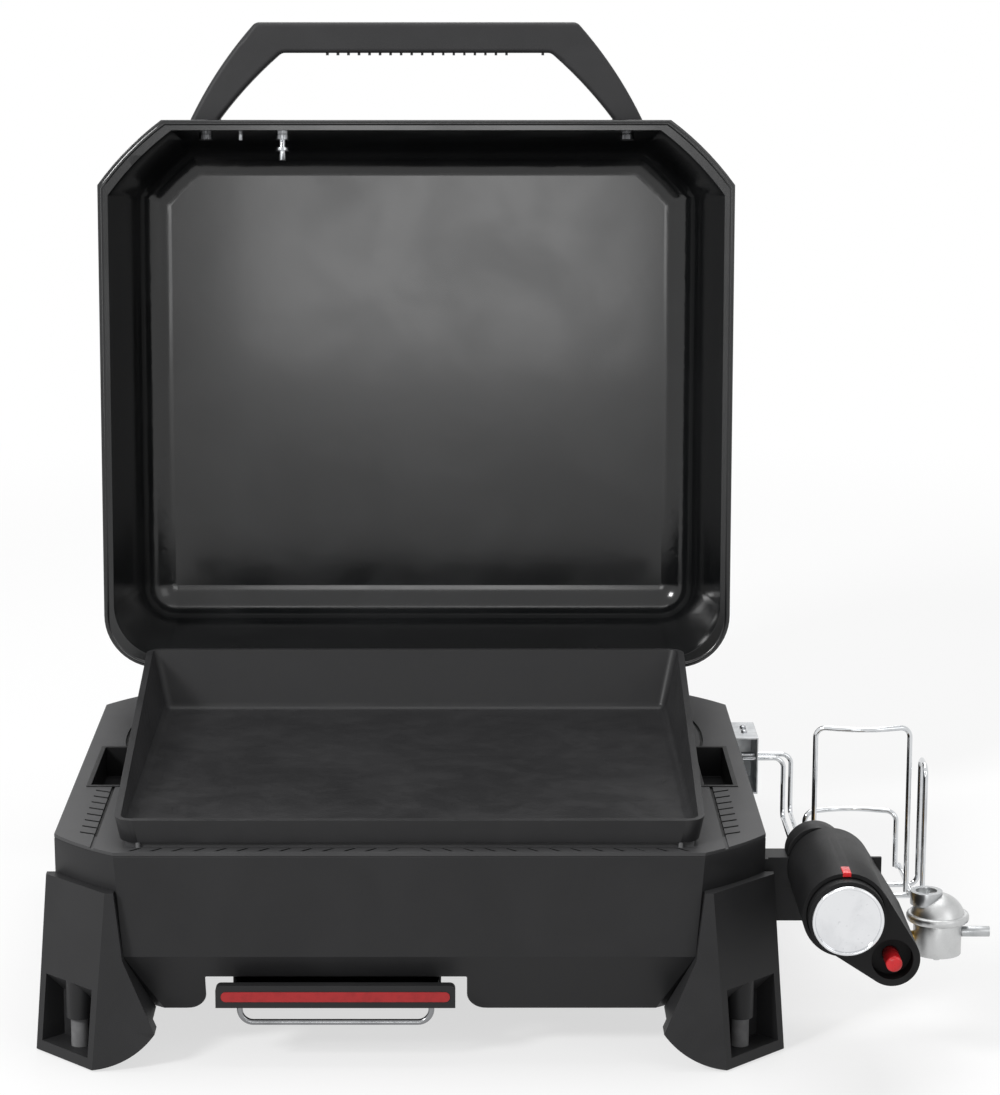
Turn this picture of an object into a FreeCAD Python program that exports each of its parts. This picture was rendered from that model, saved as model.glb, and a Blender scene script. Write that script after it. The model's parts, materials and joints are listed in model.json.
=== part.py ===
import FreeCAD, Part
import math
import os

import Sketcher

from FreeCAD import Placement, Rotation, Vector

# Tabletop gas griddle with an open lid, in millimetres. X runs to the right, Y to the back, Z up.
# Every piece is drawn about the middle of the firebox front on the table, and the whole assembly is
# then moved so that its origin is the middle of its footprint. Heights are drops below the deck.

SIZES = {
    # deck and firebox: an octagon in plan whose four corner facets are slightly bowed
    "deck_width": 525,
    "deck_depth": 475,
    "deck_height": 162,
    "deck_sheet": 2.5,
    "corner": 48,
    "corner_bow": 3,
    "firebox_wall": 2.5,
    "crease_drop": 79,
    "crease_corner": 54,
    "skirt_drop": 128,
    "skirt_inset": 27,
    "firebox_floor_drop": 92,
    # opening in the deck and the collar that carries the griddle plate
    "collar_inset": 57.5,
    "collar_front": 18,
    "collar_back": 378,
    "collar_rise": 4,
    "collar_wall": 2.5,
    # vents and grooves in the deck
    "vent_length": 12,
    "vent_width": 3,
    "vent_lean": 3,
    "vent_inset": 24.5,
    "vent_first": 48,
    "vent_run": 112,
    "vent_count": 8,
    "rear_vent_inset": 40.5,
    "rear_vent_first": 404,
    "rear_vent_run": 36,
    "rear_vent_count": 4,
    "front_vent_low": 4,
    "front_vent_high": 12,
    "front_vent_lean": 8,
    "front_vent_pitch": 15.6,
    "front_vent_count": 13,
    "groove_width": 2.5,
    "groove_depth": 1.2,
    "groove_inset": 30,
    "groove_front": 8,
    "groove_back_inset": 36,
    "groove_back": 440,
    "groove_bow": 12,
    # grip openings in the deck and the cups that line them
    "grip_inner_inset": 38.5,
    "grip_outer_inset": 11.5,
    "grip_front": 175,
    "grip_back": 290,
    "grip_depth": 26,
    "grip_wall": 2,
    "grip_lip": 1.5,
    "grip_fit": 0.2,
    # griddle plate
    "plate_wider": 6.5,
    "plate_front": 12,
    "plate_back": 382,
    "plate_floor": 5,
    "plate_wall": 5,
    "plate_draft": 0.22,
    "plate_front_draft": 0.07,
    "plate_corner": 14,
    "plate_round": 7,
    "plate_lip_rise": 17,
    "plate_back_rise": 53,
    "plate_lip_flat": 14,
    "plate_pad_radius": 1.7,
    "drain_length": 70,
    "drain_width": 10,
    "drain_front": 12,
    # grease pan under the firebox
    "tray_centre": -54,
    "tray_width": 150,
    "tray_depth": 320,
    "tray_height": 12,
    "tray_sheet": 1.5,
    "tray_drop": 118.7,
    "tray_play": 0.3,
    "tray_bar_width": 175,
    "tray_bar_height": 17,
    "tray_bar_thick": 8,
    "tray_bar_front": -5,
    "tray_bar_corner": 4,
    "tray_notch_width": 192,
    "tray_notch_drop": 98,
    "tray_notch_flare": 14,
    "stripe_width": 167,
    "stripe_height": 7.5,
    "stripe_round": 3.5,
    "stripe_depth": 1.5,
    "stripe_proud": 0.6,
    "loop_width": 140,
    "loop_drop": 12,
    "loop_bend": 10,
    "loop_wire": 2.2,
    "rail_ledge": 8,
    "rail_sheet": 1.5,
    "rail_front": 32,
    "rail_back": 400,
    # legs and feet
    "leg_drop": 29,
    "leg_out_top": 6,
    "leg_face_top": 48,
    "leg_out": 15,
    "leg_face": 46,
    "leg_tip": 77,
    "leg_tip_height": 28,
    "leg_toe": 30,
    "leg_toe_bow": 6,
    "leg_clearance": 0.4,
    "leg_lift": 1.2,
    "leg_web": 10,
    "leg_rim": 6,
    "leg_floor": 9,
    "leg_pocket_height": 66,
    "leg_pocket_slope": 22,
    "leg_pocket_depth": 22,
    "leg_gusset": 9.5,
    "foot_radius": 6.5,
    "foot_play": 0.2,
    "foot_height": 38,
    "foot_corner": 19,
    "boss_radius": 9.5,
    "boss_low": 31,
    "leg_bolt_drop": 44,
    "leg_bolt_pitch": 24,
    "leg_screw_grip": 4,
    "bolt_radius": 3,
    "bolt_head_radius": 6,
    "bolt_head_thick": 4,
    "bolt_length": 22,
    # burner
    "burner_drop": 44,
    "burner_radius": 11,
    "burner_wall": 1.2,
    "burner_half": 130,
    "burner_front": 125,
    "burner_back": 300,
    "burner_bend": 30,
    "feed_radius": 10,
    "feed_bend": 14,
    "burner_inlet": 90,
    "burner_clearance": 1,
    "burner_seat": 0.3,
    "cradle_sheet": 2,
    "cradle_depth": 14,
    # lid, drawn closed and then swung open about its hinge
    "lid_open": 93,
    "lid_wider": 18,
    "lid_front": -4,
    "lid_shorter": 6,
    "lid_gap": 2,
    "lid_height": 124,
    "lid_corner": 55,
    "lid_corner_bow": 3,
    "lid_rear_corner": 46,
    "lid_flange": 7,
    "lid_flange_thick": 3,
    "lid_slope": 20,
    "lid_round": 30,
    "lid_sheet": 1.8,
    # hinges at the back
    "hinge_behind": 17.2,
    "hinge_below": 9.6,
    "hinge_spacing": 151,
    "hinge_width": 60,
    "hinge_middle": 34,
    "hinge_knuckle": 6.5,
    "hinge_pin": 3,
    "hinge_play": 0.05,
    "hinge_slack": 0.4,
    "hinge_leaf": 2.5,
    "hinge_leaf_drop": 44,
    "hinge_leaf_rise": 40,
    "hinge_leaf_clear": 2,
    "hinge_head": 5,
    "hinge_head_thick": 2,
    "hinge_screw_half": 18,
    "hinge_screw_drop": 32,
    "leaf_screw_half": 9,
    "leaf_screw_rise": 20,
    # lid handle
    "handle_reach": 82,
    "handle_top_half": 137,
    "handle_foot_half": 193,
    "handle_foot_width": 25,
    "handle_inner_half": 115,
    "handle_bar": 26,
    "handle_leg_bow": 3.5,
    "handle_thick": 24,
    "handle_rise": 18,
    "handle_round": 4,
    "handle_corner": 8,
    "rib_pitch": 9,
    "rib_first": -76,
    "rib_count": 18,
    "rib_size": 2,
    "rib_single_left": -120,
    "rib_single_right": 108,
    "catch_x": -115,
    "catch_length": 26,
    "catch_pin_x": -151,
    "catch_pin_length": 9,
    # control housing on the right side
    "control_out": 48.5,
    "control_drop": 30,
    "control_back": 60,
    "control_front": -53,
    "control_radius": 31,
    "control_wall": 3,
    "lobe_out": 35,
    "lobe_drop": 66,
    "lobe_radius": 20,
    "lobe_front": -44,
    "lobe_cup_radius": 15,
    "lobe_cup_depth": 13,
    "knob_radius": 27.6,
    "knob_sunk": 12,
    "knob_front": -63,
    "knob_play": 0.6,
    "knob_gap": 0.5,
    "cap_radius": 25.4,
    "cap_thick": 4,
    "cap_rim": 2.2,
    "cap_dish": 0.8,
    "stem_radius": 4,
    "stem_play": 0.05,
    "stem_way": 0.6,
    "stem_grip": 8,
    "stem_seat": 12,
    "valve_radius": 14,
    "valve_front": 4,
    "valve_neck": 9,
    "valve_block": 24,
    "valve_block_depth": 36,
    "valve_block_low": 58,
    "valve_gap": 0.3,
    "jet_radius": 5,
    "jet_inside": 10,
    "igniter_length": 40,
    "igniter_play": 0.3,
    "button_radius": 5.8,
    "button_front": -54,
    "button_inside": 8,
    "button_play": 0.3,
    "button_travel": 5,
    "mark_width": 6,
    "mark_length": 15,
    "mark_proud": 0.6,
    "mark_sunk": 1,
    "bracket_sheet": 3,
    "bracket_top_drop": 22,
    "bracket_low_drop": 71,
    "bracket_front": 56,
    "bracket_back": 77,
    "bracket_reach": 87.5,
    "guide_out": 39.5,
    "guide_outer": 22,
    "guide_inner": 11,
    "guide_depth": 20,
    # regulator and its gas link
    "regulator_gap": 45,
    "regulator_y": 74,
    "regulator_low_drop": 100,
    "regulator_height": 26,
    "regulator_radius": 18,
    "dome_radius": 22,
    "dome_edge": 5,
    "dome_inset": 2,
    "dome_rise": 15,
    "nub_radius": 2.5,
    "nub_length": 6,
    "spigot_radius": 4,
    "spigot_reach": 30,
    "spigot_bore": 2,
    "spigot_tenon": 3.2,
    "spigot_drop": 84,
    "socket_radius": 12,
    "socket_bore": 8,
    "socket_shift": 9,
    "socket_drop": 52,
    "socket_height": 10,
    "link_radius": 4.5,
    "link_drop": 42,
    "link_gap": 2,
    "link_low_drop": 88,
    "link_bend": 12,
    # cylinder cradle, bent wire
    "wire": 2,
    "cradle_out": 46.5,
    "cradle_wide": 72,
    "cradle_drop": 77,
    "cradle_front": 150,
    "cradle_back": 215,
    "cradle_front_rise": 54,
    "cradle_back_drop": 32,
    "cradle_bow": 11,
    "cradle_bend": 8,
    "side_hoop_out": 13,
    "side_hoop_front": 151,
    "side_hoop_back": 179,
    "side_hoop_rise": 22,
    "hook_box_width": 21,
    "hook_box_front": 345,
    "hook_box_back": 396,
    "hook_box_drop": 7,
    "hook_box_low_drop": 55,
    "hook_box_sheet": 1.5,
    "hanger_drop": 27,
    "hanger_first": 10,
    "hanger_pitch": 12,
    "hanger_inside": 12,
    "weld": 0.3,
    "rivet_radius": 1.5,
    "rivet_head": 2.5,
    "rivet_high": 1,
    "rivet_pitch": 14,
    "hook_screw_drop": 44,
    "bracket_screw_pitch": 28,
    # small fasteners
    "screw_head": 4.5,
    "screw_head_high": 2.5,
    "screw_shank": 2,
    "screw_length": 8,
    "screw_play": 0.2,
}


class Size:
    """A length of the model, with the spreadsheet formula that gives it."""

    def __init__(self, value, formula):
        self.value = float(value)
        self.formula = formula

    def combine(self, other, sign, value, swap=False):
        other = other if isinstance(other, Size) else Size(other, repr(other))
        first, second = (other, self) if swap else (self, other)
        return Size(value(first.value, second.value), f"({first.formula} {sign} {second.formula})")

    def __add__(self, other):
        return self.combine(other, "+", lambda a, b: a + b)

    def __radd__(self, other):
        return self.combine(other, "+", lambda a, b: a + b, True)

    def __sub__(self, other):
        return self.combine(other, "-", lambda a, b: a - b)

    def __rsub__(self, other):
        return self.combine(other, "-", lambda a, b: a - b, True)

    def __mul__(self, other):
        return self.combine(other, "*", lambda a, b: a * b)

    def __rmul__(self, other):
        return self.combine(other, "*", lambda a, b: a * b, True)

    def __truediv__(self, other):
        return self.combine(other, "/", lambda a, b: a / b)

    def __rtruediv__(self, other):
        return self.combine(other, "/", lambda a, b: a / b, True)

    def __neg__(self):
        return 0 - self


def number(size):
    """The plain number of a size."""
    return size.value if isinstance(size, Size) else float(size)


doc = FreeCAD.newDocument("griddle")
sheet = doc.addObject("Spreadsheet::Sheet", "Sizes")
for row, (alias, size_value) in enumerate(SIZES.items(), start=1):
    sheet.set(f"A{row}", alias)
    sheet.set(f"B{row}", str(size_value))
    sheet.setAlias(f"B{row}", alias)
doc.recompute()


class Sheet:
    """Reads the spreadsheet: S.deck_width is the size with that alias."""

    def __getattr__(self, alias):
        return Size(getattr(sheet, alias), f"Sizes.{alias}")


S = Sheet()
NODES = []


def bind(thing, prop, size):
    """Ties a property of a document object to a size."""
    thing.setExpression(prop, size.formula if isinstance(size, Size) else repr(float(size)))


def node(thing, label):
    """Names a sub-part and puts it on the list that is exported."""
    thing.Label = label
    NODES.append(thing)
    return thing


def body(name):
    return doc.addObject("PartDesign::Body", name)


PLANES = {"XY": "XY_Plane", "XZ": "XZ_Plane", "YZ": "YZ_Plane"}


def sketch(owner, plane, offset=0.0):
    """A sketch on one of its body's origin planes, moved along that plane's normal."""
    made = owner.newObject("Sketcher::SketchObject", owner.Name + "Sketch")
    base = next(f for f in owner.Origin.OriginFeatures if f.Role == PLANES[plane])
    made.AttachmentSupport = [(base, "")]
    made.MapMode = "FlatFace"
    bind(made, "AttachmentOffset.Base.z", offset)
    return made


def loop(target, corners):
    """Draws a closed outline, anticlockwise. A third value rounds the edge that leaves its corner:
    a radius bulges outwards, and a negative one inwards."""
    count = len(corners)
    first = len(target.Geometry)
    places = [Vector(number(c[0]), number(c[1]), 0) for c in corners]
    for i, corner in enumerate(corners):
        start, end = places[i], places[(i + 1) % count]
        if len(corner) == 3:
            radius = number(corner[2])
            chord = end - start
            outward = Vector(chord.y, -chord.x, 0).normalize()
            rise = abs(radius) - math.sqrt(max(radius**2 - chord.Length**2 / 4, 0))
            top = (start + end) / 2 + outward * math.copysign(rise, radius)
            target.addGeometry(Part.Arc(start, top, end), False)
        else:
            target.addGeometry(Part.LineSegment(start, end), False)
    for i, corner in enumerate(corners):
        here, after = first + i, first + (i + 1) % count
        arc = target.Geometry[here]
        curved = len(corner) == 3
        outwards = curved and number(corner[2]) > 0
        following = corners[(i + 1) % count]
        next_inwards = len(following) == 3 and number(following[2]) < 0
        end_point = 1 if curved and not outwards else 2
        start_point = 2 if next_inwards else 1
        target.addConstraint(Sketcher.Constraint("Coincident", here, end_point, after, start_point))
        if curved:
            radius = corner[2] if outwards else -corner[2]
            tie(target, Sketcher.Constraint("Radius", here, arc.Radius), radius)
    for i, corner in enumerate(corners):
        here = first + i
        point = 2 if len(corner) == 3 and number(corner[2]) < 0 else 1
        for kind, value in (("DistanceX", corner[0]), ("DistanceY", corner[1])):
            tie(target, Sketcher.Constraint(kind, -1, 1, here, point, number(value)), value)


def tie(target, constraint, size):
    """Adds a constraint to a sketch, bound to its size."""
    index = target.addConstraint(constraint)
    if isinstance(size, Size):
        target.setExpression(f"Constraints[{index}]", size.formula)


def circle(target, x, y, radius):
    """Draws a circle with its centre and radius bound."""
    here = target.addGeometry(Part.Circle(Vector(number(x), number(y), 0), Vector(0, 0, 1), number(radius)),
                              False)
    tie(target, Sketcher.Constraint("DistanceX", -1, 1, here, 3, number(x)), x)
    tie(target, Sketcher.Constraint("DistanceY", -1, 1, here, 3, number(y)), y)
    tie(target, Sketcher.Constraint("Radius", here, number(radius)), radius)


def pad(owner, plane, outlines, length, offset=0.0):
    """Pads one or more outlines along the plane's normal. XZ points to the front, YZ to the right."""
    drawn = sketch(owner, plane, offset)
    for corners in outlines:
        loop(drawn, corners)
    made = owner.newObject("PartDesign::Pad", owner.Name + "Pad")
    made.Profile = drawn
    bind(made, "Length", length)
    doc.recompute([owner])
    return made


def pocket(owner, plane, outlines, length, offset=0.0):
    """Cuts outlines against the plane's normal, and makes sure that something was cut."""
    before = owner.Shape.Volume
    drawn = sketch(owner, plane, offset)
    for corners in outlines:
        loop(drawn, corners)
    made = owner.newObject("PartDesign::Pocket", owner.Name + "Pocket")
    made.Profile = drawn
    bind(made, "Length", length)
    doc.recompute([owner])
    if not owner.Shape.Volume < before:
        raise RuntimeError(f"{owner.Name}: a pocket cuts nothing")
    return made


def loft(owner, sections, cut=False):
    """Joins outlines at two heights: sections are (height, corners)."""
    drawn = []
    for height, corners in sections:
        drawn.append(sketch(owner, "XY", height))
        loop(drawn[-1], corners)
    kind = "PartDesign::SubtractiveLoft" if cut else "PartDesign::AdditiveLoft"
    made = owner.newObject(kind, owner.Name + "Loft")
    made.Profile = drawn[0]
    made.Sections = drawn[1:]
    made.Ruled = True
    doc.recompute([owner])
    return made


def edges(shape, test):
    """Names of the edges whose middle point and direction pass a test."""
    found = []
    for i, edge in enumerate(shape.Edges, start=1):
        middle = edge.valueAt((edge.FirstParameter + edge.LastParameter) / 2)
        direction = edge.tangentAt((edge.FirstParameter + edge.LastParameter) / 2)
        if test(middle, direction):
            found.append(f"Edge{i}")
    return found


def fillet(owner, base, names, radius):
    """Rounds named edges of a body's last feature."""
    made = owner.newObject("PartDesign::Fillet", owner.Name + "Fillet")
    made.Base = (base, names)
    bind(made, "Radius", radius)
    doc.recompute([owner])
    return made


def rectangle(x1, x2, y1, y2):
    return [(x1, y1), (x2, y1), (x2, y2), (x1, y2)]


def rounded(x1, x2, y1, y2, radius):
    """A rectangle with rounded corners."""
    return [
        (x1 + radius, y1), (x2 - radius, y1, radius), (x2, y1 + radius), (x2, y2 - radius, radius),
        (x2 - radius, y2), (x1 + radius, y2, radius), (x1, y2 - radius), (x1, y1 + radius, radius),
    ]


def block(name, x, y, z):
    """A box between two limits along each axis."""
    made = doc.addObject("Part::Box", name)
    for prop, base, (low, high) in zip(("Length", "Width", "Height"), "xyz", (x, y, z)):
        bind(made, prop, high - low)
        bind(made, f"Placement.Base.{base}", low)
    return made


AXES = {"X": Rotation(Vector(0, 1, 0), 90), "Y": Rotation(Vector(1, 0, 0), -90), "Z": Rotation()}


def rod(name, axis, start, length, radius):
    """A cylinder from a start point along an axis."""
    made = doc.addObject("Part::Cylinder", name)
    made.Placement = Placement(Vector(), AXES[axis])
    bind(made, "Radius", radius)
    bind(made, "Height", length)
    for base, value in zip("xyz", start):
        bind(made, f"Placement.Base.{base}", value)
    return made


def cut(name, base, *tools):
    """The base less each tool. A list is a set of tools that don't meet."""
    result = base
    for i, tool in enumerate(tools):
        if isinstance(tool, list):
            tool = group(f"{name}Tools{i}", *tool)
        made = doc.addObject("Part::Cut", f"{name}Cut{i}")
        made.Base, made.Tool = result, tool
        result = made
    return result


def fuse(name, *pieces):
    made = doc.addObject("Part::MultiFuse", name)
    made.Shapes = list(pieces)
    return made


def group(name, *pieces):
    """Separate solids that share a node."""
    made = doc.addObject("Part::Compound", name)
    made.Links = list(pieces)
    return made


def mirrored(name, source, normal, base=None):
    """The mirror image of a piece in a plane through the origin, or through a bound Y."""
    made = doc.addObject("Part::Mirroring", name)
    made.Source = source
    made.Normal = normal
    if base is not None:
        bind(made, "Base.y", base)
    return made


def drawn_shape(name, shape):
    """A piece whose shape is worked out from the sheet in this script."""
    made = doc.addObject("Part::Feature", name)
    made.Shape = shape
    return made


def prism(corners, low, high):
    """An upright prism over an outline with straight sides."""
    points = [Vector(number(x), number(y), number(low)) for x, y in corners]
    return Part.Face(Part.makePolygon(points + points[:1])).extrude(Vector(0, 0, number(high - low)))


def along(name, axis, start, length, radius, turn):
    """A cylinder that starts at a point and runs along an axis turned about Z."""
    made = rod(name, axis, start, length, radius)
    made.Placement = Placement(made.Placement.Base,
                               Rotation(Vector(0, 0, 1), turn) * made.Placement.Rotation)
    return made


def common(name, *pieces):
    made = doc.addObject("Part::MultiCommon", name)
    made.Shapes = list(pieces)
    return made


def ordered(a, b):
    return (a, b) if number(a) < number(b) else (b, a)


def bent_wire(points, radius, bends):
    """A round wire through points. Each corner is an arc, of one radius or of its own."""
    places = [Vector(*(number(value) for value in point)) for point in points]
    if not isinstance(bends, list):
        bends = [bends] * (len(points) - 2)
    runs, start = [], places[0]
    for i, bend in enumerate(bends):
        before, corner, after = places[i], places[i + 1], places[i + 2]
        into, out = (corner - before).normalize(), (after - corner).normalize()
        half_turn = into.getAngle(out) / 2
        reach = number(bend) * math.tan(half_turn)
        first, last = corner - into * reach, corner + out * reach
        middle = corner + (out - into).normalize() * number(bend) * (1 / math.cos(half_turn) - 1)
        runs += [Part.makeLine(start, first), Part.Arc(first, middle, last).toShape()]
        start = last
    runs.append(Part.makeLine(start, places[-1]))
    ring = Part.Wire(Part.Circle(places[0], (places[1] - places[0]).normalize(), number(radius)).toShape())
    return Part.Wire(runs).makePipeShell([ring], True, False)


# Shared heights and places

DECK_UNDER = S.deck_height - S.deck_sheet
CREASE = S.deck_height - S.crease_drop
SKIRT = S.deck_height - S.skirt_drop
FLOOR_TOP = S.deck_height - S.firebox_floor_drop
FLOOR_UNDER = FLOOR_TOP - S.firebox_wall
SIDE = S.deck_width / 2
COLLAR_HALF = SIDE - S.collar_inset
PLATE_HALF = COLLAR_HALF + S.plate_wider
GRIP_INNER = SIDE - S.grip_inner_inset
GRIP_OUTER = SIDE - S.grip_outer_inset
REAR_VENT_COLUMN = SIDE - S.rear_vent_inset
VENT_COLUMN = SIDE - S.vent_inset
LID_WIDTH = S.deck_width + S.lid_wider
LID_BACK = S.deck_depth - S.lid_shorter
CONTROL_X = SIDE + S.control_out
LOBE_X = CONTROL_X + S.lobe_out
GUIDE_X = SIDE + S.guide_out
BRACKET_END = SIDE + S.bracket_reach
LINK_X = BRACKET_END + S.link_gap
REGULATOR_X = BRACKET_END + S.regulator_gap
CRADLE_LEFT = SIDE + S.cradle_out
CRADLE_RIGHT = CRADLE_LEFT + S.cradle_wide
SIDE_HOOP_X = CRADLE_RIGHT + S.side_hoop_out
PLATE_LOW = S.deck_height + S.collar_rise
TRAY_LOW = S.deck_height - S.tray_drop
HINGE_Y = S.deck_depth + S.hinge_behind
HINGE_Z = S.deck_height - S.hinge_below


def bow_radius(dx, dy, bow):
    """Radius of the arc over a chord that bulges by its bow."""
    return (dx * dx + dy * dy) / (8 * bow) + bow / 2


def octagon(inset, corner):
    """The firebox outline, pulled in all round, with bowed corner facets."""
    half, front, back = SIDE - inset, inset + 0, S.deck_depth - inset
    arc = bow_radius(corner, corner, S.corner_bow)
    return [
        (-half + corner, front), (half - corner, front, arc),
        (half, front + corner), (half, back - corner, arc),
        (half - corner, back), (-half + corner, back, arc),
        (-half, back - corner), (-half, front + corner, arc),
    ]


def tray_notch():
    """The notch in the front of the skirt that the grease pan slides through, with curved flares."""
    half, flare = S.tray_notch_width / 2, S.tray_notch_flare
    top, low = S.deck_height - S.tray_notch_drop, SKIRT
    left, right = S.tray_centre - half, S.tray_centre + half
    notch = body("TrayNotch")
    pad(notch, "XZ", [[
        (left - flare, low), (left - flare, low - flare), (right + flare, low - flare),
        (right + flare, low, -flare), (right, low + flare), (right, top), (left, top),
        (left, low + flare, -flare),
    ]], S.skirt_inset * 3, -S.skirt_inset * 2)
    return notch


def bolt_places():
    """Where the leg screws cross the front left facet: name and place, in the facet's chord."""
    places = []
    for name, drop in (("High", S.leg_bolt_drop), ("Low", S.leg_bolt_drop + S.leg_bolt_pitch)):
        share = (drop - S.deck_sheet) / (S.crease_drop - S.deck_sheet)
        cut_back = S.corner + (S.crease_corner - S.corner) * share
        places.append((name, (-SIDE + cut_back / 2, cut_back / 2, S.deck_height - drop)))
    return places


def facet_rod(name, place, start, length, radius):
    """A rod square to the front left facet; its start is measured inwards from the facet."""
    shift = start * math.sqrt(0.5)
    x, y, z = place
    return along(name, "X", (x + shift, y + shift, z), length, radius, 45)


def all_corners(name, source):
    """A front left piece and its mirror images at the other three corners."""
    right = mirrored(name + "FrontRight", source, Vector(1, 0, 0))
    back = mirrored(name + "BackLeft", source, Vector(0, 1, 0), S.deck_depth / 2)
    far = mirrored(name + "BackRight", back, Vector(1, 0, 0))
    return [source, right, back, far]


def hinge_screw_places():
    """Where the hinge screws cross the rear wall: name and place."""
    level, found = HINGE_Z - S.hinge_screw_drop, []
    for side, sign in (("Left", -1), ("Right", 1)):
        for end, step in (("Inner", -1), ("Outer", 1)):
            found.append((side + end,
                          (S.hinge_spacing * sign + S.hinge_screw_half * step, S.deck_depth, level)))
    return found


def screw_rod(name, place, start, length, radius):
    """A rod square to the rear wall; its start is measured from the wall towards the back."""
    x, y, z = place
    return rod(name, "Y", (x, y + start, z), length, radius)


def side_screw_places():
    """Screws through the right wall: name, place and the sheet that each one holds."""
    bracket_y = (S.bracket_front + S.bracket_back) / 2 + S.bracket_sheet
    middle = S.deck_height - (S.bracket_top_drop + S.bracket_low_drop) / 2
    hook_y, hook_z = (S.hook_box_front + S.hook_box_back) / 2, S.deck_height - S.hook_screw_drop
    found = []
    for name, step in (("Low", -1), ("High", 1)):
        found.append((f"Bracket{name}", (SIDE, bracket_y, middle + S.bracket_screw_pitch / 2 * step),
                      S.bracket_sheet))
        found.append((f"Hook{name}", (SIDE, hook_y + S.rivet_pitch * step, hook_z), S.hook_box_sheet))
    return found


def side_rod(name, place, start, length, radius):
    """A rod square to the right wall; its start is measured from the wall outwards."""
    x, y, z = place
    return rod(name, "X", (x + start, y, z), length, radius)


def firebox():
    """Pressed box with upright walls, a crease, a skirt that slopes in and a floor."""
    wall = S.firebox_wall
    outer = body("FireboxOuter")
    loft(outer, [(CREASE, octagon(0, S.crease_corner)), (DECK_UNDER, octagon(0, S.corner))])
    loft(outer, [(SKIRT, octagon(S.skirt_inset, S.crease_corner)), (CREASE, octagon(0, S.crease_corner))])
    slope = S.skirt_inset / (CREASE - SKIRT)
    hollow = body("FireboxHollow")
    loft(hollow, [(CREASE, octagon(wall, S.crease_corner)), (DECK_UNDER, octagon(wall, S.corner))])
    loft(hollow, [(FLOOR_TOP, octagon(slope * (CREASE - FLOOR_TOP) + wall, S.crease_corner)),
                  (CREASE, octagon(wall, S.crease_corner))])
    under = body("FireboxUnder")
    loft(under, [(SKIRT, octagon(S.skirt_inset + wall, S.crease_corner)),
                 (FLOOR_UNDER, octagon(slope * (CREASE - FLOOR_UNDER) + wall, S.crease_corner))])
    drain_y = S.plate_front + S.drain_front
    drain = block("FloorDrain", (S.tray_centre - S.drain_length / 2, S.tray_centre + S.drain_length / 2),
                  (drain_y, drain_y + S.drain_width * 2), (FLOOR_UNDER - 1, FLOOR_TOP + 1))
    inlet = rod("InletHole", "X", (SIDE - wall * 2, S.burner_inlet, S.deck_height - S.burner_drop), wall * 3,
                S.feed_radius + S.burner_clearance)
    holes = []
    for name, place in bolt_places():
        hole = facet_rod(f"BoltWay{name}", place, -wall * 2, wall * 6, S.screw_shank + S.screw_play)
        holes += all_corners(f"BoltWay{name}", hole)
    for name, place in hinge_screw_places():
        holes.append(screw_rod(f"HingeScrewWay{name}", place, -wall * 2, wall * 4,
                               S.screw_shank + S.screw_play))
    for name, place, sheet_thick in side_screw_places():
        holes.append(side_rod(f"SideScrewWay{name}", place, -wall * 2, wall * 4,
                              S.screw_shank + S.screw_play))
    node(cut("Firebox", outer, hollow, under, tray_notch(), [drain, inlet, *holes]), "firebox")


def slanted(x, y, lean):
    """One slanted slot across a strip, centred on a column."""
    half = S.vent_length / 2
    return [(x - half, y + lean), (x + half, y - lean), (x + half, y - lean + S.vent_width),
            (x - half, y + lean + S.vent_width)]


def leaned(x, sign):
    """One front slot that leans away from the middle as it comes forward."""
    half, lean = S.vent_width / 2, S.front_vent_lean * sign
    return [(x - half + lean, S.front_vent_low), (x + half + lean, S.front_vent_low),
            (x + half, S.front_vent_high), (x - half, S.front_vent_high)]


def groove(sign):
    """The shallow pressed line from the front, past the grip and round behind it, on one side."""
    outer, near = SIDE - S.groove_inset, SIDE - S.groove_back_inset
    far = GRIP_INNER - S.groove_inset / 2
    width, run = S.groove_width, S.groove_back - S.grip_back
    straight = [(outer - width, S.groove_front), (outer, S.groove_front), (outer, S.grip_front),
                (outer - width, S.grip_front)]
    bend = bow_radius(outer - far, run, S.groove_bow)
    curved = [(far - width, S.groove_back), (outer - width, S.grip_back), (outer, S.grip_back, bend),
              (far, S.groove_back)]
    curved[0] = (*curved[0], -bend)
    if sign > 0:
        return straight, curved
    flip = [(-x, y) for x, y in reversed(straight)]
    turned = [(-outer, S.grip_back), (-outer + width, S.grip_back, -bend), (-far + width, S.groove_back),
              (-far, S.groove_back, bend)]
    return flip, turned


def vents(sign):
    """The vent slots on one side: two columns beside the griddle plate and a row in front of it."""
    outlines = []
    for column, first, run, count in ((VENT_COLUMN, S.vent_first, S.vent_run, S.vent_count),
                                      (REAR_VENT_COLUMN, S.rear_vent_first, S.rear_vent_run,
                                       S.rear_vent_count)):
        pitch = run / (count - 1)
        outlines += [slanted(column * sign, first + pitch * i, -S.vent_lean * sign)
                     for i in range(int(number(count)))]
    pitch = S.front_vent_pitch
    outlines += [leaned(pitch * (i + 0.5) * sign, sign) for i in range(int(number(S.front_vent_count)))]
    return [prism(corners, DECK_UNDER - 1, S.deck_height + 1) for corners in outlines]


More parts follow.
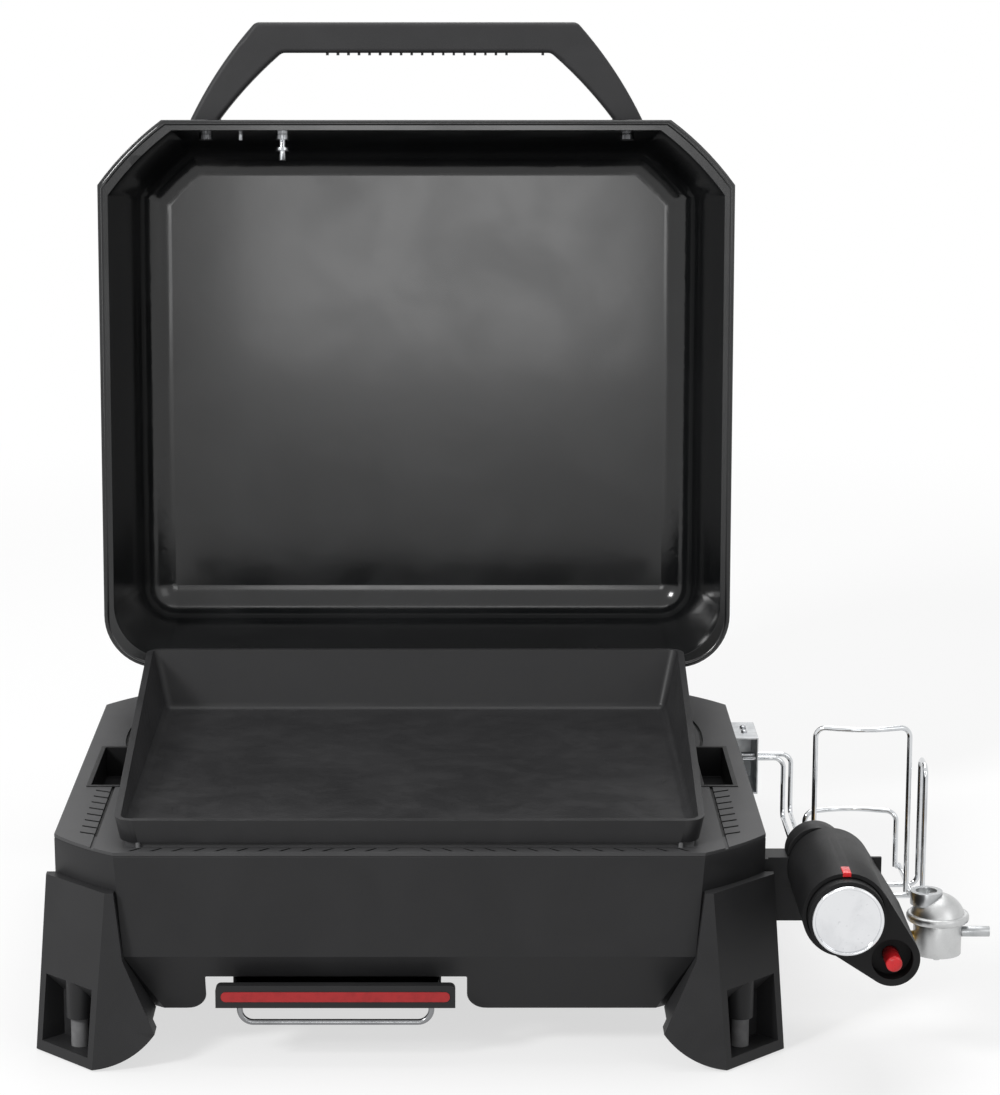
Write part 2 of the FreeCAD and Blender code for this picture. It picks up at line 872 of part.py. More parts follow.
def deck():
    """Flat top plate with a raised collar, vents, pressed grooves and two grip openings."""
    plate = body("DeckPlate")
    pad(plate, "XY", [octagon(0, S.corner)], S.deck_sheet, DECK_UNDER)
    grow = S.collar_wall
    pad(plate, "XY", [rectangle(-COLLAR_HALF - grow, COLLAR_HALF + grow, S.collar_front - grow,
                                S.collar_back + grow)],
        S.deck_sheet + S.collar_rise, DECK_UNDER)
    openings = [rectangle(-COLLAR_HALF, COLLAR_HALF, S.collar_front, S.collar_back)]
    lines = []
    for sign in (-1, 1):
        openings.append(rectangle(*ordered(GRIP_INNER * sign, GRIP_OUTER * sign), S.grip_front,
                                  S.grip_back))
        lines += groove(sign)
    pocket(plate, "XY", openings, S.deck_sheet + S.collar_rise + 2, PLATE_LOW + 1)
    pocket(plate, "XY", lines, S.groove_depth, S.deck_height)
    slots = drawn_shape("Vents", Part.makeCompound(vents(-1) + vents(1)))
    node(cut("Deck", plate, slots), "deck_plate")


def grips():
    """Moulded cups that line the two grip openings, each with a thin lip on the deck."""
    for side, sign in (("left", -1), ("right", 1)):
        low, high = ordered(GRIP_INNER * sign, GRIP_OUTER * sign)
        fit, wall, lip = S.grip_fit, S.grip_wall, S.grip_lip
        bottom = S.deck_height - S.grip_depth
        cup = block(f"Cup_{side}", (low + fit, high - fit), (S.grip_front + fit, S.grip_back - fit),
                    (bottom, S.deck_height))
        rim = block(f"CupRim_{side}", (low - lip, high + lip), (S.grip_front - lip, S.grip_back + lip),
                    (S.deck_height, S.deck_height + lip / 2))
        inside = fit + wall
        hollow = block(f"CupHollow_{side}", (low + inside, high - inside),
                       (S.grip_front + inside, S.grip_back - inside),
                       (bottom + wall, S.deck_height + lip))
        node(cut(f"Grip_{side}", fuse(f"GripSolid_{side}", cup, rim), hollow), f"grip_cup_{side}")


def plate_body(name, inset, low, high):
    """The griddle plate's outer form, pulled in all round, between two heights, with its drafted walls."""
    def half(level):
        return PLATE_HALF + S.plate_draft * (level - PLATE_LOW) - inset

    def front(level):
        return S.plate_front - S.plate_front_draft * (level - PLATE_LOW) + inset

    def back(level):
        return S.plate_back + S.plate_draft * (level - PLATE_LOW) - inset

    made = body(name)
    pad(made, "XZ", [[(-half(low), low), (half(low), low), (half(high), high), (-half(high), high)]],
        back(high) - front(high), -back(high))
    under, over, spare = low - 1, high + 1, S.plate_wall
    pocket(made, "YZ", [
        [(front(high) - spare, under), (front(under), under), (front(over), over),
         (front(high) - spare, over)],
        [(back(under), under), (back(high) + spare, under), (back(high) + spare, over), (back(over), over)],
    ], half(high) * 2 + spare * 2, half(high) + spare)
    return made


def upright(middle, way):
    return abs(way.z) > 0.5


def griddle_plate():
    """Cooking plate: a flat floor, a low front lip, side walls that climb to a tall back wall."""
    lip, high = PLATE_LOW + S.plate_lip_rise, PLATE_LOW + S.plate_back_rise
    top = S.plate_back_rise + S.plate_wall
    outer = plate_body("PlateOuter", 0, PLATE_LOW, PLATE_LOW + top)
    fillet(outer, outer.Tip, edges(outer.Tip.Shape, upright), S.plate_corner)
    floor = PLATE_LOW + S.plate_floor
    inner = plate_body("PlateInner", S.plate_wall, floor, PLATE_LOW + top + 1)
    level = number(floor)
    hollow_edges = edges(inner.Tip.Shape, lambda middle, way: upright(middle, way)
                         or abs(middle.z - level) < 0.01)
    fillet(inner, inner.Tip, hollow_edges, S.plate_round)
    rim, far, near = body("PlateRim"), S.plate_back + S.plate_back_rise, -PLATE_HALF
    pad(rim, "YZ", [[(near, lip), (S.plate_lip_flat, lip), (S.plate_back, high), (far, high),
                     (far, high + far),
                     (near, high + far)]], S.deck_width, -S.deck_width / 2)
    drain_y = S.plate_front + S.drain_front
    drain = block("PlateDrain", (S.tray_centre - S.drain_length / 2, S.tray_centre + S.drain_length / 2),
                  (drain_y, drain_y + S.drain_width), (PLATE_LOW - 1, floor + 1))
    node(cut("Plate", outer, inner, rim, drain), "griddle_plate")
    corner = PLATE_HALF - S.plate_corner
    pad_y = S.collar_front - S.collar_wall - S.plate_pad_radius
    pads = [rod(f"PlatePad{i}", "Z", (corner * sign, pad_y, S.deck_height), S.collar_rise,
                S.plate_pad_radius)
            for i, sign in enumerate((-1, 1))]
    node(group("PlatePads", *pads), "plate_pads")


def pan():
    """Grease pan that slides out to the front."""
    left, right = S.tray_centre - S.tray_width / 2, S.tray_centre + S.tray_width / 2
    front, skin = S.tray_bar_front + S.tray_bar_thick, S.tray_sheet
    tray = block("PanSolid", (left, right), (front, front + S.tray_depth),
                 (TRAY_LOW, TRAY_LOW + S.tray_height))
    hollow = block("PanHollow", (left + skin, right - skin), (front + skin, front + S.tray_depth - skin),
                   (TRAY_LOW + skin, TRAY_LOW + S.tray_height + 1))
    node(cut("Pan", tray, hollow), "grease_pan")


def tray_front():
    """Bar across the front of the pan, with its coloured stripe and a wire loop to pull."""
    low, half, corner = TRAY_LOW + S.loop_wire, S.tray_bar_width / 2, S.tray_bar_corner
    high, left, right = low + S.tray_bar_height, S.tray_centre - half, S.tray_centre + half
    back = S.tray_bar_front + S.tray_bar_thick
    bar = body("TrayBar")
    pad(bar, "XZ", [[(left, low), (right, low), (right, high - corner, corner), (right - corner, high),
                     (left + corner, high, corner), (left, high - corner)]], S.tray_bar_thick, -back)
    rise, reach = S.stripe_height / 2, S.stripe_width / 2
    level = low + S.tray_bar_height / 2
    stripe = rounded(S.tray_centre - reach, S.tray_centre + reach, level - rise, level + rise,
                     S.stripe_round)
    seat = body("StripeSeat")
    deep = S.tray_bar_front + S.stripe_depth
    pad(seat, "XZ", [stripe], S.stripe_depth + 1, -deep)
    node(cut("TrayFront", bar, seat), "tray_front_bar")
    inlay = body("Stripe")
    pad(inlay, "XZ", [stripe], S.stripe_depth + S.stripe_proud, -deep)
    node(inlay, "tray_stripe")
    span, middle = S.loop_width / 2, back - S.tray_bar_thick / 2
    points = [(S.tray_centre - span, middle, low), (S.tray_centre - span, middle, low - S.loop_drop),
              (S.tray_centre + span, middle, low - S.loop_drop), (S.tray_centre + span, middle, low)]
    node(drawn_shape("TrayLoop", bent_wire(points, S.loop_wire, S.loop_bend)), "tray_pull_loop")


def tray_rails():
    """Two folded rails under the firebox floor that carry the pan by its edges."""
    for side, sign in (("left", -1), ("right", 1)):
        inner = S.tray_centre + (S.tray_width / 2 + S.tray_play) * sign
        outer, ledge, top = inner + S.rail_sheet * sign, inner - S.rail_ledge * sign, TRAY_LOW - S.tray_play
        low, depth = top - S.rail_sheet, (S.rail_front, S.rail_back)
        web = block(f"RailWeb_{side}", ordered(inner, outer), depth, (low, FLOOR_UNDER))
        shelf = block(f"RailShelf_{side}", ordered(ledge, outer), depth, (low, top))
        node(fuse(f"Rail_{side}", web, shelf), f"tray_rail_{side}")


def leg_plan(out, face):
    """A leg in plan: two straight faces and the slanted face across the corner."""
    left, front, reach = -SIDE - out, -out, S.leg_tip + S.leg_out
    return [(left, front + face), (left + face, front), (left + reach, front), (left + reach, front + reach),
            (left, front + reach)]


def leg_silhouette(edge):
    """A leg seen square on: the toe arc, the tip, the line of the skirt and the upright edge of the wing."""
    run, rise = S.leg_tip - S.leg_toe, S.leg_tip_height - S.leg_lift
    arc = (run * run + rise * rise) / (8 * S.leg_toe_bow) + S.leg_toe_bow / 2
    far, top = edge - S.leg_tip, S.deck_height - S.leg_drop + 1
    return [(far, S.leg_lift), (edge + S.leg_toe, S.leg_lift, arc), (edge + S.leg_tip, S.leg_tip_height),
            (edge + S.crease_corner, CREASE), (edge + S.corner, top), (far, top)]


def firebox_clearance():
    """The firebox grown by the clearance of the legs."""
    gap = -S.leg_clearance
    clear = body("LegClear")
    loft(clear, [(CREASE, octagon(gap, S.crease_corner)), (S.deck_height, octagon(gap, S.corner))])
    loft(clear, [(SKIRT + gap, octagon(S.skirt_inset + gap, S.crease_corner)),
                 (CREASE, octagon(gap, S.crease_corner))])
    return clear


def leg_room():
    """The open space behind the two wings of a leg, below the firebox."""
    web, floor = S.leg_web, S.leg_floor
    far = S.leg_tip + S.leg_out
    room = body("LegRoom")
    corner = S.foot_corner + S.boss_radius + S.leg_gusset
    pad(room, "XY", [[(-SIDE + web + corner, web - S.leg_out_top), (-SIDE + far, web - S.leg_out_top),
                      (-SIDE + far, far),
                      (-SIDE - S.leg_out_top + web, far), (-SIDE - S.leg_out_top + web, web + corner)]],
        SKIRT - floor, floor)
    return room


def leg_pocket():
    """The opening in the slanted face of a leg, with a ceiling that slopes down into it."""
    hollow = body("LegPocket")
    half = S.leg_face * math.sqrt(0.5) - S.leg_rim
    deep, floor, high = S.leg_pocket_depth, S.leg_floor, S.leg_pocket_height
    pad(hollow, "YZ", [[(-deep, floor), (deep, floor), (deep, high - S.leg_pocket_slope), (0, high),
                        (-deep, high)]],
        half * 2, -half)
    hollow.Placement = Placement(Vector(), Rotation(Vector(0, 0, 1), -45))
    bind(hollow, "Placement.Base.x", -SIDE - S.leg_out + S.leg_face / 2)
    bind(hollow, "Placement.Base.y", S.leg_face / 2 - S.leg_out)
    return hollow


def legs():
    """Four moulded corner legs, each with a pocket in its slanted face and a boss for its foot."""
    top = S.deck_height - S.leg_drop
    solid = body("LegSolid")
    loft(solid, [(S.leg_lift, leg_plan(S.leg_out, S.leg_face)),
                 (top, leg_plan(S.leg_out_top, S.leg_face_top))])
    front = body("LegFront")
    pad(front, "XZ", [leg_silhouette(-SIDE)], S.leg_tip * 3, -S.leg_tip * 2)
    side = body("LegSide")
    pad(side, "YZ", [leg_silhouette(0 * S.leg_tip)], S.leg_tip * 3, -SIDE - S.leg_tip)
    whole = common("LegCommon", solid, front, side)
    shell = cut("LegShell", whole, firebox_clearance(), leg_pocket(), leg_room())
    x, y = -SIDE + S.foot_corner, S.foot_corner + 0
    post = rod("LegPost", "Z", (x, y, S.boss_low), S.leg_pocket_height - S.boss_low, S.boss_radius)
    boss = common("LegBoss", post, whole)
    foot_hole = rod("LegFootHole", "Z", (x, y, 0), S.foot_height + S.foot_play, S.foot_radius + S.foot_play)
    tip = -S.corner_bow - S.leg_clearance - S.leg_screw_grip - S.screw_play
    holes = [facet_rod(f"LegScrewHole{name}", place, tip, -tip, S.screw_shank + S.screw_play)
             for name, place in bolt_places()]
    leg = cut("Leg", fuse("LegWithBoss", shell, boss), foot_hole, holes)
    for made, label in zip(all_corners("Leg", leg),
                           ("front_left", "front_right", "back_left", "back_right")):
        node(made, f"leg_{label}")


def feet():
    """Rubber feet pushed up into the bosses of the legs."""
    foot = rod("Foot", "Z", (-SIDE + S.foot_corner, S.foot_corner + 0, 0), S.foot_height, S.foot_radius)
    node(group("RubberFeet", *all_corners("Foot", foot)), "rubber_feet")


def leg_screws():
    """Screws from inside the firebox through its corner facets into the legs."""
    pieces = []
    tip = -S.corner_bow - S.leg_clearance - S.leg_screw_grip
    seat = S.firebox_wall * math.sqrt(2) - S.corner_bow + S.screw_play * 2
    for name, place in bolt_places():
        shank = facet_rod(f"LegScrewShank{name}", place, tip, seat - tip, S.screw_shank)
        head = facet_rod(f"LegScrewHead{name}", place, seat, S.screw_head_high, S.screw_head)
        pieces += all_corners(f"LegScrew{name}Set", fuse(f"LegScrew{name}", shank, head))
    node(group("LegScrews", *pieces), "leg_screws")


def burner():
    """Tube burner bent into a loop, with its inlet to the right, on two folded carriers."""
    level, half, bend = S.deck_height - S.burner_drop, S.burner_half, S.burner_bend
    front, back, inlet = S.burner_front, S.burner_back, S.burner_inlet
    places = [(0, front, level), (half, front, level), (half, back, level), (-half, back, level),
              (-half, front, level), (0, front, level)]
    inner_radius = S.burner_radius - S.burner_wall
    ring = drawn_shape("BurnerRing", bent_wire(places, S.burner_radius, bend))
    ring_bore = drawn_shape("BurnerRingBore", bent_wire(places, inner_radius, bend))
    joint, end = half / 2, SIDE - S.firebox_wall / 2
    feed_places = [(joint, front, level), (joint, inlet, level), (end, inlet, level)]
    feed = drawn_shape("BurnerFeed", bent_wire(feed_places, S.feed_radius, S.feed_bend))
    feed_bore = drawn_shape("BurnerFeedBore",
                            bent_wire(feed_places, S.feed_radius - S.burner_wall, S.feed_bend))
    bores = fuse("BurnerBores", ring_bore, feed_bore)
    node(cut("Burner", fuse("BurnerSolid", ring, feed), bores), "burner_tube")
    for side, sign in (("left", -1), ("right", 1)):
        wide = S.burner_radius + S.cradle_sheet
        low, high = ordered((half - wide) * sign, (half + wide) * sign)
        middle = (front + back) / 2
        depth = (middle - S.cradle_depth / 2, middle + S.cradle_depth / 2)
        post = block(f"Carrier_{side}", (low, high), depth, (FLOOR_TOP, level))
        notch = rod(f"CarrierNotch_{side}", "Y", (half * sign, depth[0] - 1, level), S.cradle_depth + 2,
                    S.burner_radius + S.burner_seat)
        node(cut(f"BurnerCarrier_{side}", post, notch), f"burner_carrier_{side}")


LID_RIM = S.deck_height + S.lid_gap
LID_LEAN = S.lid_slope / S.lid_height
LID_COS = Size(1 / math.sqrt(1 + LID_LEAN.value**2), f"(1 / sqrt(1 + ({LID_LEAN.formula})^2))")
LID_TAPER = Size(-math.degrees(math.atan(LID_LEAN.value)), f"(-atan({LID_LEAN.formula}))")
LID_NODES = []


def lid_node(thing, label):
    """Names a piece that swings with the lid. It is drawn closed."""
    LID_NODES.append(thing)
    return node(thing, label)


def wall_front(height):
    return S.lid_front + S.lid_flange + LID_LEAN * height


def wall_back(height):
    return LID_BACK - S.lid_flange - LID_LEAN * height


def wall_rod(name, x, height, inward, start, length, radius):
    """A rod square to the front wall, or with inward -1 the rear one, from a depth below its outer face."""
    y = wall_front(height) if inward > 0 else wall_back(height)
    made = rod(name, "Y", (x, y + start * LID_COS * inward, LID_RIM + height - start * LID_COS * LID_LEAN),
               length, radius)
    made.Placement = Placement(Vector(), Rotation(Vector(0, 0, 1), Vector(0, inward, -number(LID_LEAN))))
    return made


def lid_outline(inset):
    """The lid in plan: bowed chamfers in front, round corners behind."""
    half, front, back = LID_WIDTH / 2 - inset, S.lid_front + inset, LID_BACK - inset
    corner, rear = S.lid_corner, S.lid_rear_corner
    arc = bow_radius(corner, corner, S.lid_corner_bow)
    return [(-half + corner, front), (half - corner, front, arc), (half, front + corner),
            (half, back - rear, rear),
            (half - rear, back), (-half + rear, back, rear), (-half, back - rear),
            (-half, front + corner, arc)]


def lid_form(name, inset, height, radius):
    """The lid's drawn form, with walls that lean in and a rounded top edge."""
    made = body(name)
    drawn = pad(made, "XY", [lid_outline(inset)], height, LID_RIM)
    bind(drawn, "TaperAngle", LID_TAPER)
    doc.recompute([made])
    level = number(LID_RIM + height)
    fillet(made, drawn, edges(drawn.Shape, lambda middle, way: abs(middle.z - level) < 0.01), radius)
    return made


def lid_bolt_places():
    """Every fastener of the lid: name, x, height above the rim, wall and shank radius."""
    middle = S.handle_rise + S.handle_thick / 2
    foot = S.handle_foot_half - S.handle_foot_width / 2
    places = [(f"Handle{i}", foot * sign, middle, 1, S.bolt_radius) for i, sign in enumerate((-1, 1))]
    places.append(("Catch", S.catch_x, middle, 1, S.bolt_radius))
    places.append(("CatchPin", S.catch_pin_x, middle, 1, S.screw_shank))
    for side, sign in (("Left", -1), ("Right", 1)):
        for i, step in enumerate((-1, 1)):
            x = S.hinge_spacing * sign + S.leaf_screw_half * step
            places.append((f"Leaf{side}{i}", x, S.leaf_screw_rise, -1, S.screw_shank))
    return places


def lid_shell():
    """Pressed lid with a flat flange round its rim."""
    outer = lid_form("LidOuter", S.lid_flange, S.lid_height, S.lid_round)
    inner = lid_form("LidInner", S.lid_flange + S.lid_sheet, S.lid_height - S.lid_sheet,
                     S.lid_round - S.lid_sheet)
    flange = body("LidFlange")
    pad(flange, "XY", [lid_outline(0)], S.lid_flange_thick, LID_RIM)
    holes = [wall_rod(f"LidHole{name}", x, height, inward, -S.lid_sheet, S.lid_sheet * 4,
                      radius + S.screw_play)
             for name, x, height, inward, radius in lid_bolt_places()]
    lid_node(cut("Lid", fuse("LidSolid", outer, flange), inner, holes), "lid_shell")
    return outer


def lid_handle(outer):
    """Moulded bail handle across the lid's front, with grip ribs on the inside of its bar."""
    foot, top, bar, base = S.handle_foot_half, S.handle_top_half, S.handle_bar, S.lid_front
    reach = base - S.handle_reach
    foot_in, top_in, deep = foot - S.handle_foot_width, S.handle_inner_half, S.lid_flange * 4
    bow = bow_radius(foot - top, S.handle_reach, S.handle_leg_bow)
    handle = body("Handle")
    low = LID_RIM + S.handle_rise
    pad(handle, "XY", [[
        (-foot, deep), (-foot, base, bow), (-top, reach), (top, reach, bow), (foot, base), (foot, deep),
        (foot_in, deep), (foot_in, base, -bow), (top_in, reach + bar), (-top_in, reach + bar, -bow),
        (-foot_in, base),
        (-foot_in, deep),
    ]], S.handle_thick, low)
    limit = number(base - S.handle_reach / 2)
    corners = edges(handle.Tip.Shape, lambda middle, way: abs(way.z) > 0.9 and middle.y < limit)
    fillet(handle, handle.Tip, corners, S.handle_corner)
    levels = (number(low), number(low + S.handle_thick))
    rims = edges(handle.Tip.Shape, lambda middle, way: min(abs(middle.z - level) for level in levels) < 0.01)
    fillet(handle, handle.Tip, rims, S.handle_round)
    size = S.rib_size
    columns = [S.rib_first + S.rib_pitch * i for i in range(int(number(S.rib_count)))]
    ribs = body("HandleRibs")
    start = reach + bar - size
    pad(ribs, "XY", [rectangle(x - size / 2, x + size / 2, start, start + size * 2)
                     for x in columns + [S.rib_single_left, S.rib_single_right]],
        S.handle_thick - S.handle_round * 2, low + S.handle_round)
    middle = S.handle_rise + S.handle_thick / 2
    holes = [wall_rod(f"HandleHole{i}", (foot - S.handle_foot_width / 2) * sign, middle, 1, -S.bolt_length,
                      S.bolt_length * 2, S.bolt_radius + S.screw_play) for i, sign in enumerate((-1, 1))]
    lid_node(cut("HandlePiece", fuse("HandleSolid", handle, ribs), outer, holes), "lid_handle")


def lid_fasteners():
    """Handle bolts and hinge screws with their nuts, the catch bolt and its pin."""
    bolts, screws = [], []
    inside = S.lid_sheet + S.screw_play
    for name, x, height, inward, radius in lid_bolt_places():
        def piece(part, start, length, size):
            return wall_rod(f"Lid{part}{name}", x, height, inward, start, length, size)

        if name.startswith("Handle"):
            shank = piece("Shank", -S.bolt_length / 2, S.bolt_length / 2 + inside + S.bolt_head_thick,
                          radius)
            bolts.append(fuse(f"LidBolt{name}", shank,
                              piece("Nut", inside, S.bolt_head_thick, S.bolt_head_radius)))
        elif name == "Catch":
            shank = piece("Shank", -S.screw_head_high, S.catch_length, radius)
            head = piece("Head", -S.screw_head_high, S.screw_head_high, S.bolt_head_radius)
            nut = piece("Nut", inside, S.bolt_head_thick, S.bolt_head_radius)
            washer = piece("Washer", S.catch_length / 2, S.screw_head_high, S.bolt_head_radius)
            lid_node(fuse("CatchBolt", shank, head, nut, washer), "lid_catch_bolt")
        elif name == "CatchPin":
            shank = piece("Shank", -S.screw_head_high, S.catch_pin_length, radius)
            head = piece("Head", -S.screw_head_high, S.screw_head_high, S.screw_head)
            lid_node(fuse("CatchPin", shank, head), "lid_catch_pin")
        else:
            leaf = S.hinge_leaf
            shank = piece("Shank", -leaf - S.screw_head_high,
                          leaf + S.screw_head_high + inside + S.screw_head_high, radius)
            head = piece("Head", -leaf - S.screw_head_high, S.screw_head_high, S.screw_head)
            nut = piece("Nut", inside, S.screw_head_high, S.screw_head)
            screws.append(fuse(f"LidScrew{name}", shank, head, nut))
    lid_node(group("HandleBolts", *bolts), "handle_bolts")
    lid_node(group("LeafScrews", *screws), "leaf_screws")


def hinge_bracket(side, centre):
    """The fixed half of a hinge: a plate on the rear wall, two arms and two knuckles."""
    half, thick, knuckle = S.hinge_width / 2, S.hinge_leaf, S.hinge_knuckle
    inner = S.hinge_middle / 2 + S.hinge_slack
    plate = block(f"HingePlate{side}", (centre - half, centre + half), (S.deck_depth, S.deck_depth + thick),
                  (HINGE_Z - S.hinge_leaf_drop, HINGE_Z - knuckle + thick))
    pieces = [plate]
    for i, (low, high) in enumerate(((-half, -inner), (inner, half))):
        pieces.append(block(f"HingeArm{side}{i}", (centre + low, centre + high), (S.deck_depth, HINGE_Y),
                            (HINGE_Z - knuckle, HINGE_Z - knuckle + thick)))
        pieces.append(rod(f"HingeKnuckle{side}{i}", "X", (centre + low, HINGE_Y, HINGE_Z), high - low,
                          knuckle))
    bore = rod(f"HingeBore{side}", "X", (centre - half - 1, HINGE_Y, HINGE_Z), S.hinge_width + 2,
               S.hinge_pin + S.hinge_play)
    holes = [screw_rod(f"HingeHole{name}", place, -1, thick + 2, S.screw_shank + S.screw_play)
             for name, place in hinge_screw_places() if name.startswith(side)]
    node(cut(f"HingeBracket{side}", fuse(f"HingeBracketSolid{side}", *pieces), bore, holes),
         f"hinge_bracket_{side.lower()}")


def hinge_leaf(side, centre):
    """The moving half of a hinge: a knuckle and a strap bent round the flange to the lid's rear wall."""
    half, thick, knuckle = S.hinge_middle / 2, S.hinge_leaf, S.hinge_knuckle
    bend = S.lid_flange_thick + S.hinge_leaf_clear
    high, top = bend + thick, S.hinge_leaf_rise
    strap = body(f"HingeStrap{side}")
    near = HINGE_Y - knuckle
    pad(strap, "YZ", [[
        (near, HINGE_Z), (near + thick, HINGE_Z), (near + thick, LID_RIM + high),
        (wall_back(high) + thick, LID_RIM + high),
        (wall_back(top) + thick, LID_RIM + top), (wall_back(top), LID_RIM + top),
        (wall_back(bend), LID_RIM + bend),
        (near, LID_RIM + bend),
    ]], S.hinge_middle, centre - half)
    roll = rod(f"HingeRoll{side}", "X", (centre - half, HINGE_Y, HINGE_Z), S.hinge_middle, knuckle)
    bore = rod(f"HingeLeafBore{side}", "X", (centre - half - 1, HINGE_Y, HINGE_Z), S.hinge_middle + 2,
               S.hinge_pin + S.hinge_play)
    holes = [wall_rod(f"LeafHole{name}", x, height, -1, -thick * 2, thick * 4, radius + S.screw_play)
             for name, x, height, inward, radius in lid_bolt_places() if name.startswith(f"Leaf{side}")]
    lid_node(cut(f"HingeLeaf{side}", fuse(f"HingeLeafSolid{side}", strap, roll), bore, holes),
             f"hinge_leaf_{side.lower()}")


def hinges():
    """Two hinges at the back, each with its own pin, and the screws of their brackets."""
    for side, sign in (("Left", -1), ("Right", 1)):
        centre, half, head = S.hinge_spacing * sign, S.hinge_width / 2, S.hinge_head_thick
        hinge_bracket(side, centre)
        hinge_leaf(side, centre)
        pin = rod(f"PinShaft{side}", "X", (centre - half, HINGE_Y, HINGE_Z), S.hinge_width, S.hinge_pin)
        ends = [rod(f"PinHead{side}{i}", "X", (start, HINGE_Y, HINGE_Z), head, S.hinge_head)
                for i, start in enumerate((centre - half - head, centre + half))]
        node(fuse(f"Pin{side}", pin, *ends), f"hinge_pin_{side.lower()}")
    screws = []
    for name, place in hinge_screw_places():
        shank = screw_rod(f"HingeShank{name}", place, S.hinge_leaf - S.screw_length, S.screw_length,
                          S.screw_shank)
        head = screw_rod(f"HingeHead{name}", place, S.hinge_leaf + 0, S.screw_head_high, S.screw_head)
        screws.append(fuse(f"HingeScrew{name}", shank, head))
    node(group("HingeScrews", *screws), "hinge_screws")


def lid():
    """The lid, its handle and its fasteners."""
    outer = lid_shell()
    lid_handle(outer)
    lid_fasteners()


CONTROL_Z = S.deck_height - S.control_drop
LOBE_Z = S.deck_height - S.lobe_drop
BRACKET_TOP = S.deck_height - S.bracket_top_drop


def root_of(size):
    return Size(math.sqrt(number(size)), f"sqrt({size.formula})")


def y_rod(name, x, y1, y2, z, radius):
    """A cylinder along Y between two depths."""
    return rod(name, "Y", (x, y1, z), y2 - y1, radius)


def teardrop(name, drum, lobe, front, lobe_front, back):
    """The control housing's form: a drum, a smaller lobe below it and the flat flanks that join them."""
    run, fall = LOBE_X - CONTROL_X, LOBE_Z - CONTROL_Z
    gap = root_of(run * run + fall * fall)
    sine = (drum - lobe) / gap
    cosine = root_of(1 - sine * sine)
    ahead, aside = (run / gap, fall / gap), (-fall / gap, run / gap)

    def tangent(centre, radius, side):
        return tuple(c + radius * (sine * a + cosine * s * side) for c, a, s in zip(centre, ahead, aside))

    first, second = (CONTROL_X, CONTROL_Z), (LOBE_X, LOBE_Z)
    web = body(name + "Web")
    pad(web, "XZ", [[tangent(first, drum, -1), tangent(second, lobe, -1), tangent(second, lobe, 1),
                     tangent(first, drum, 1)]], back - lobe_front, -back)
    return fuse(name, y_rod(name + "Drum", CONTROL_X, front, back, CONTROL_Z, drum),
                y_rod(name + "Lobe", LOBE_X, lobe_front, back, LOBE_Z, lobe), web)


def control_housing():
    """Hollow moulded housing with a cup for the knob and a smaller one for the igniter button."""
    wall, front, back = S.control_wall, S.control_front, S.control_back
    cup_back, lobe_cup_back = front + S.knob_sunk, S.lobe_front + S.lobe_cup_depth
    solid = teardrop("Housing", S.control_radius, S.lobe_radius, front, S.lobe_front, back)
    hollow = teardrop("HousingHollow", S.control_radius - wall, S.lobe_radius - wall, cup_back + wall,
                      lobe_cup_back + wall, back + 1)
    cup = y_rod("KnobCup", CONTROL_X, front - 1, cup_back, CONTROL_Z, S.knob_radius + S.knob_play)
    lobe_cup = y_rod("LobeCup", LOBE_X, S.lobe_front - 1, lobe_cup_back, LOBE_Z, S.lobe_cup_radius)
    stem_way = y_rod("StemWay", CONTROL_X, front, back, CONTROL_Z, S.stem_radius + S.stem_way)
    button_way = y_rod("ButtonWay", LOBE_X, S.lobe_front, 0 * back, LOBE_Z,
                       S.button_radius + S.button_play)
    top, half = CONTROL_Z + S.control_radius, S.mark_width / 2
    seat = block("MarkSeat", (CONTROL_X - half, CONTROL_X + half), (front - 1, front + S.mark_length),
                 (top - S.mark_sunk, top + S.mark_proud))
    node(cut("ControlHousing", solid, hollow, cup, lobe_cup, stem_way, button_way, seat), "control_housing")
    strip = block("MarkStrip", (CONTROL_X - half, CONTROL_X + half), (front, front + S.mark_length),
                  (top - S.mark_sunk, top + S.mark_proud))
    skin = y_rod("MarkSkin", CONTROL_X, front, front + S.mark_length, CONTROL_Z,
                 S.control_radius + S.mark_proud)
    node(common("Mark", strip, skin), "index_mark")


def knob():
    """Knob that turns on the gas: a dark grip, a bright dished cap and the stem behind them."""
    grip_back = S.control_front + S.knob_sunk - S.knob_gap
    grip = y_rod("KnobGrip", CONTROL_X, S.knob_front, grip_back, CONTROL_Z, S.knob_radius)
    seat = y_rod("KnobSeat", CONTROL_X, grip_back - S.stem_grip, grip_back + 1, CONTROL_Z, S.stem_radius)
    node(cut("KnobPiece", grip, seat), "knob_grip")
    cap = y_rod("KnobCap", CONTROL_X, S.knob_front - S.cap_thick, S.knob_front, CONTROL_Z, S.cap_radius)
    dish = y_rod("KnobDish", CONTROL_X, S.knob_front - S.cap_thick - 1,
                 S.knob_front - S.cap_thick + S.cap_dish,
                 CONTROL_Z, S.cap_radius - S.cap_rim)
    node(cut("KnobCapPiece", cap, dish), "knob_cap")
    node(y_rod("KnobStem", CONTROL_X, grip_back - S.stem_grip, S.valve_front + S.stem_seat, CONTROL_Z,
               S.stem_radius),
         "knob_stem")


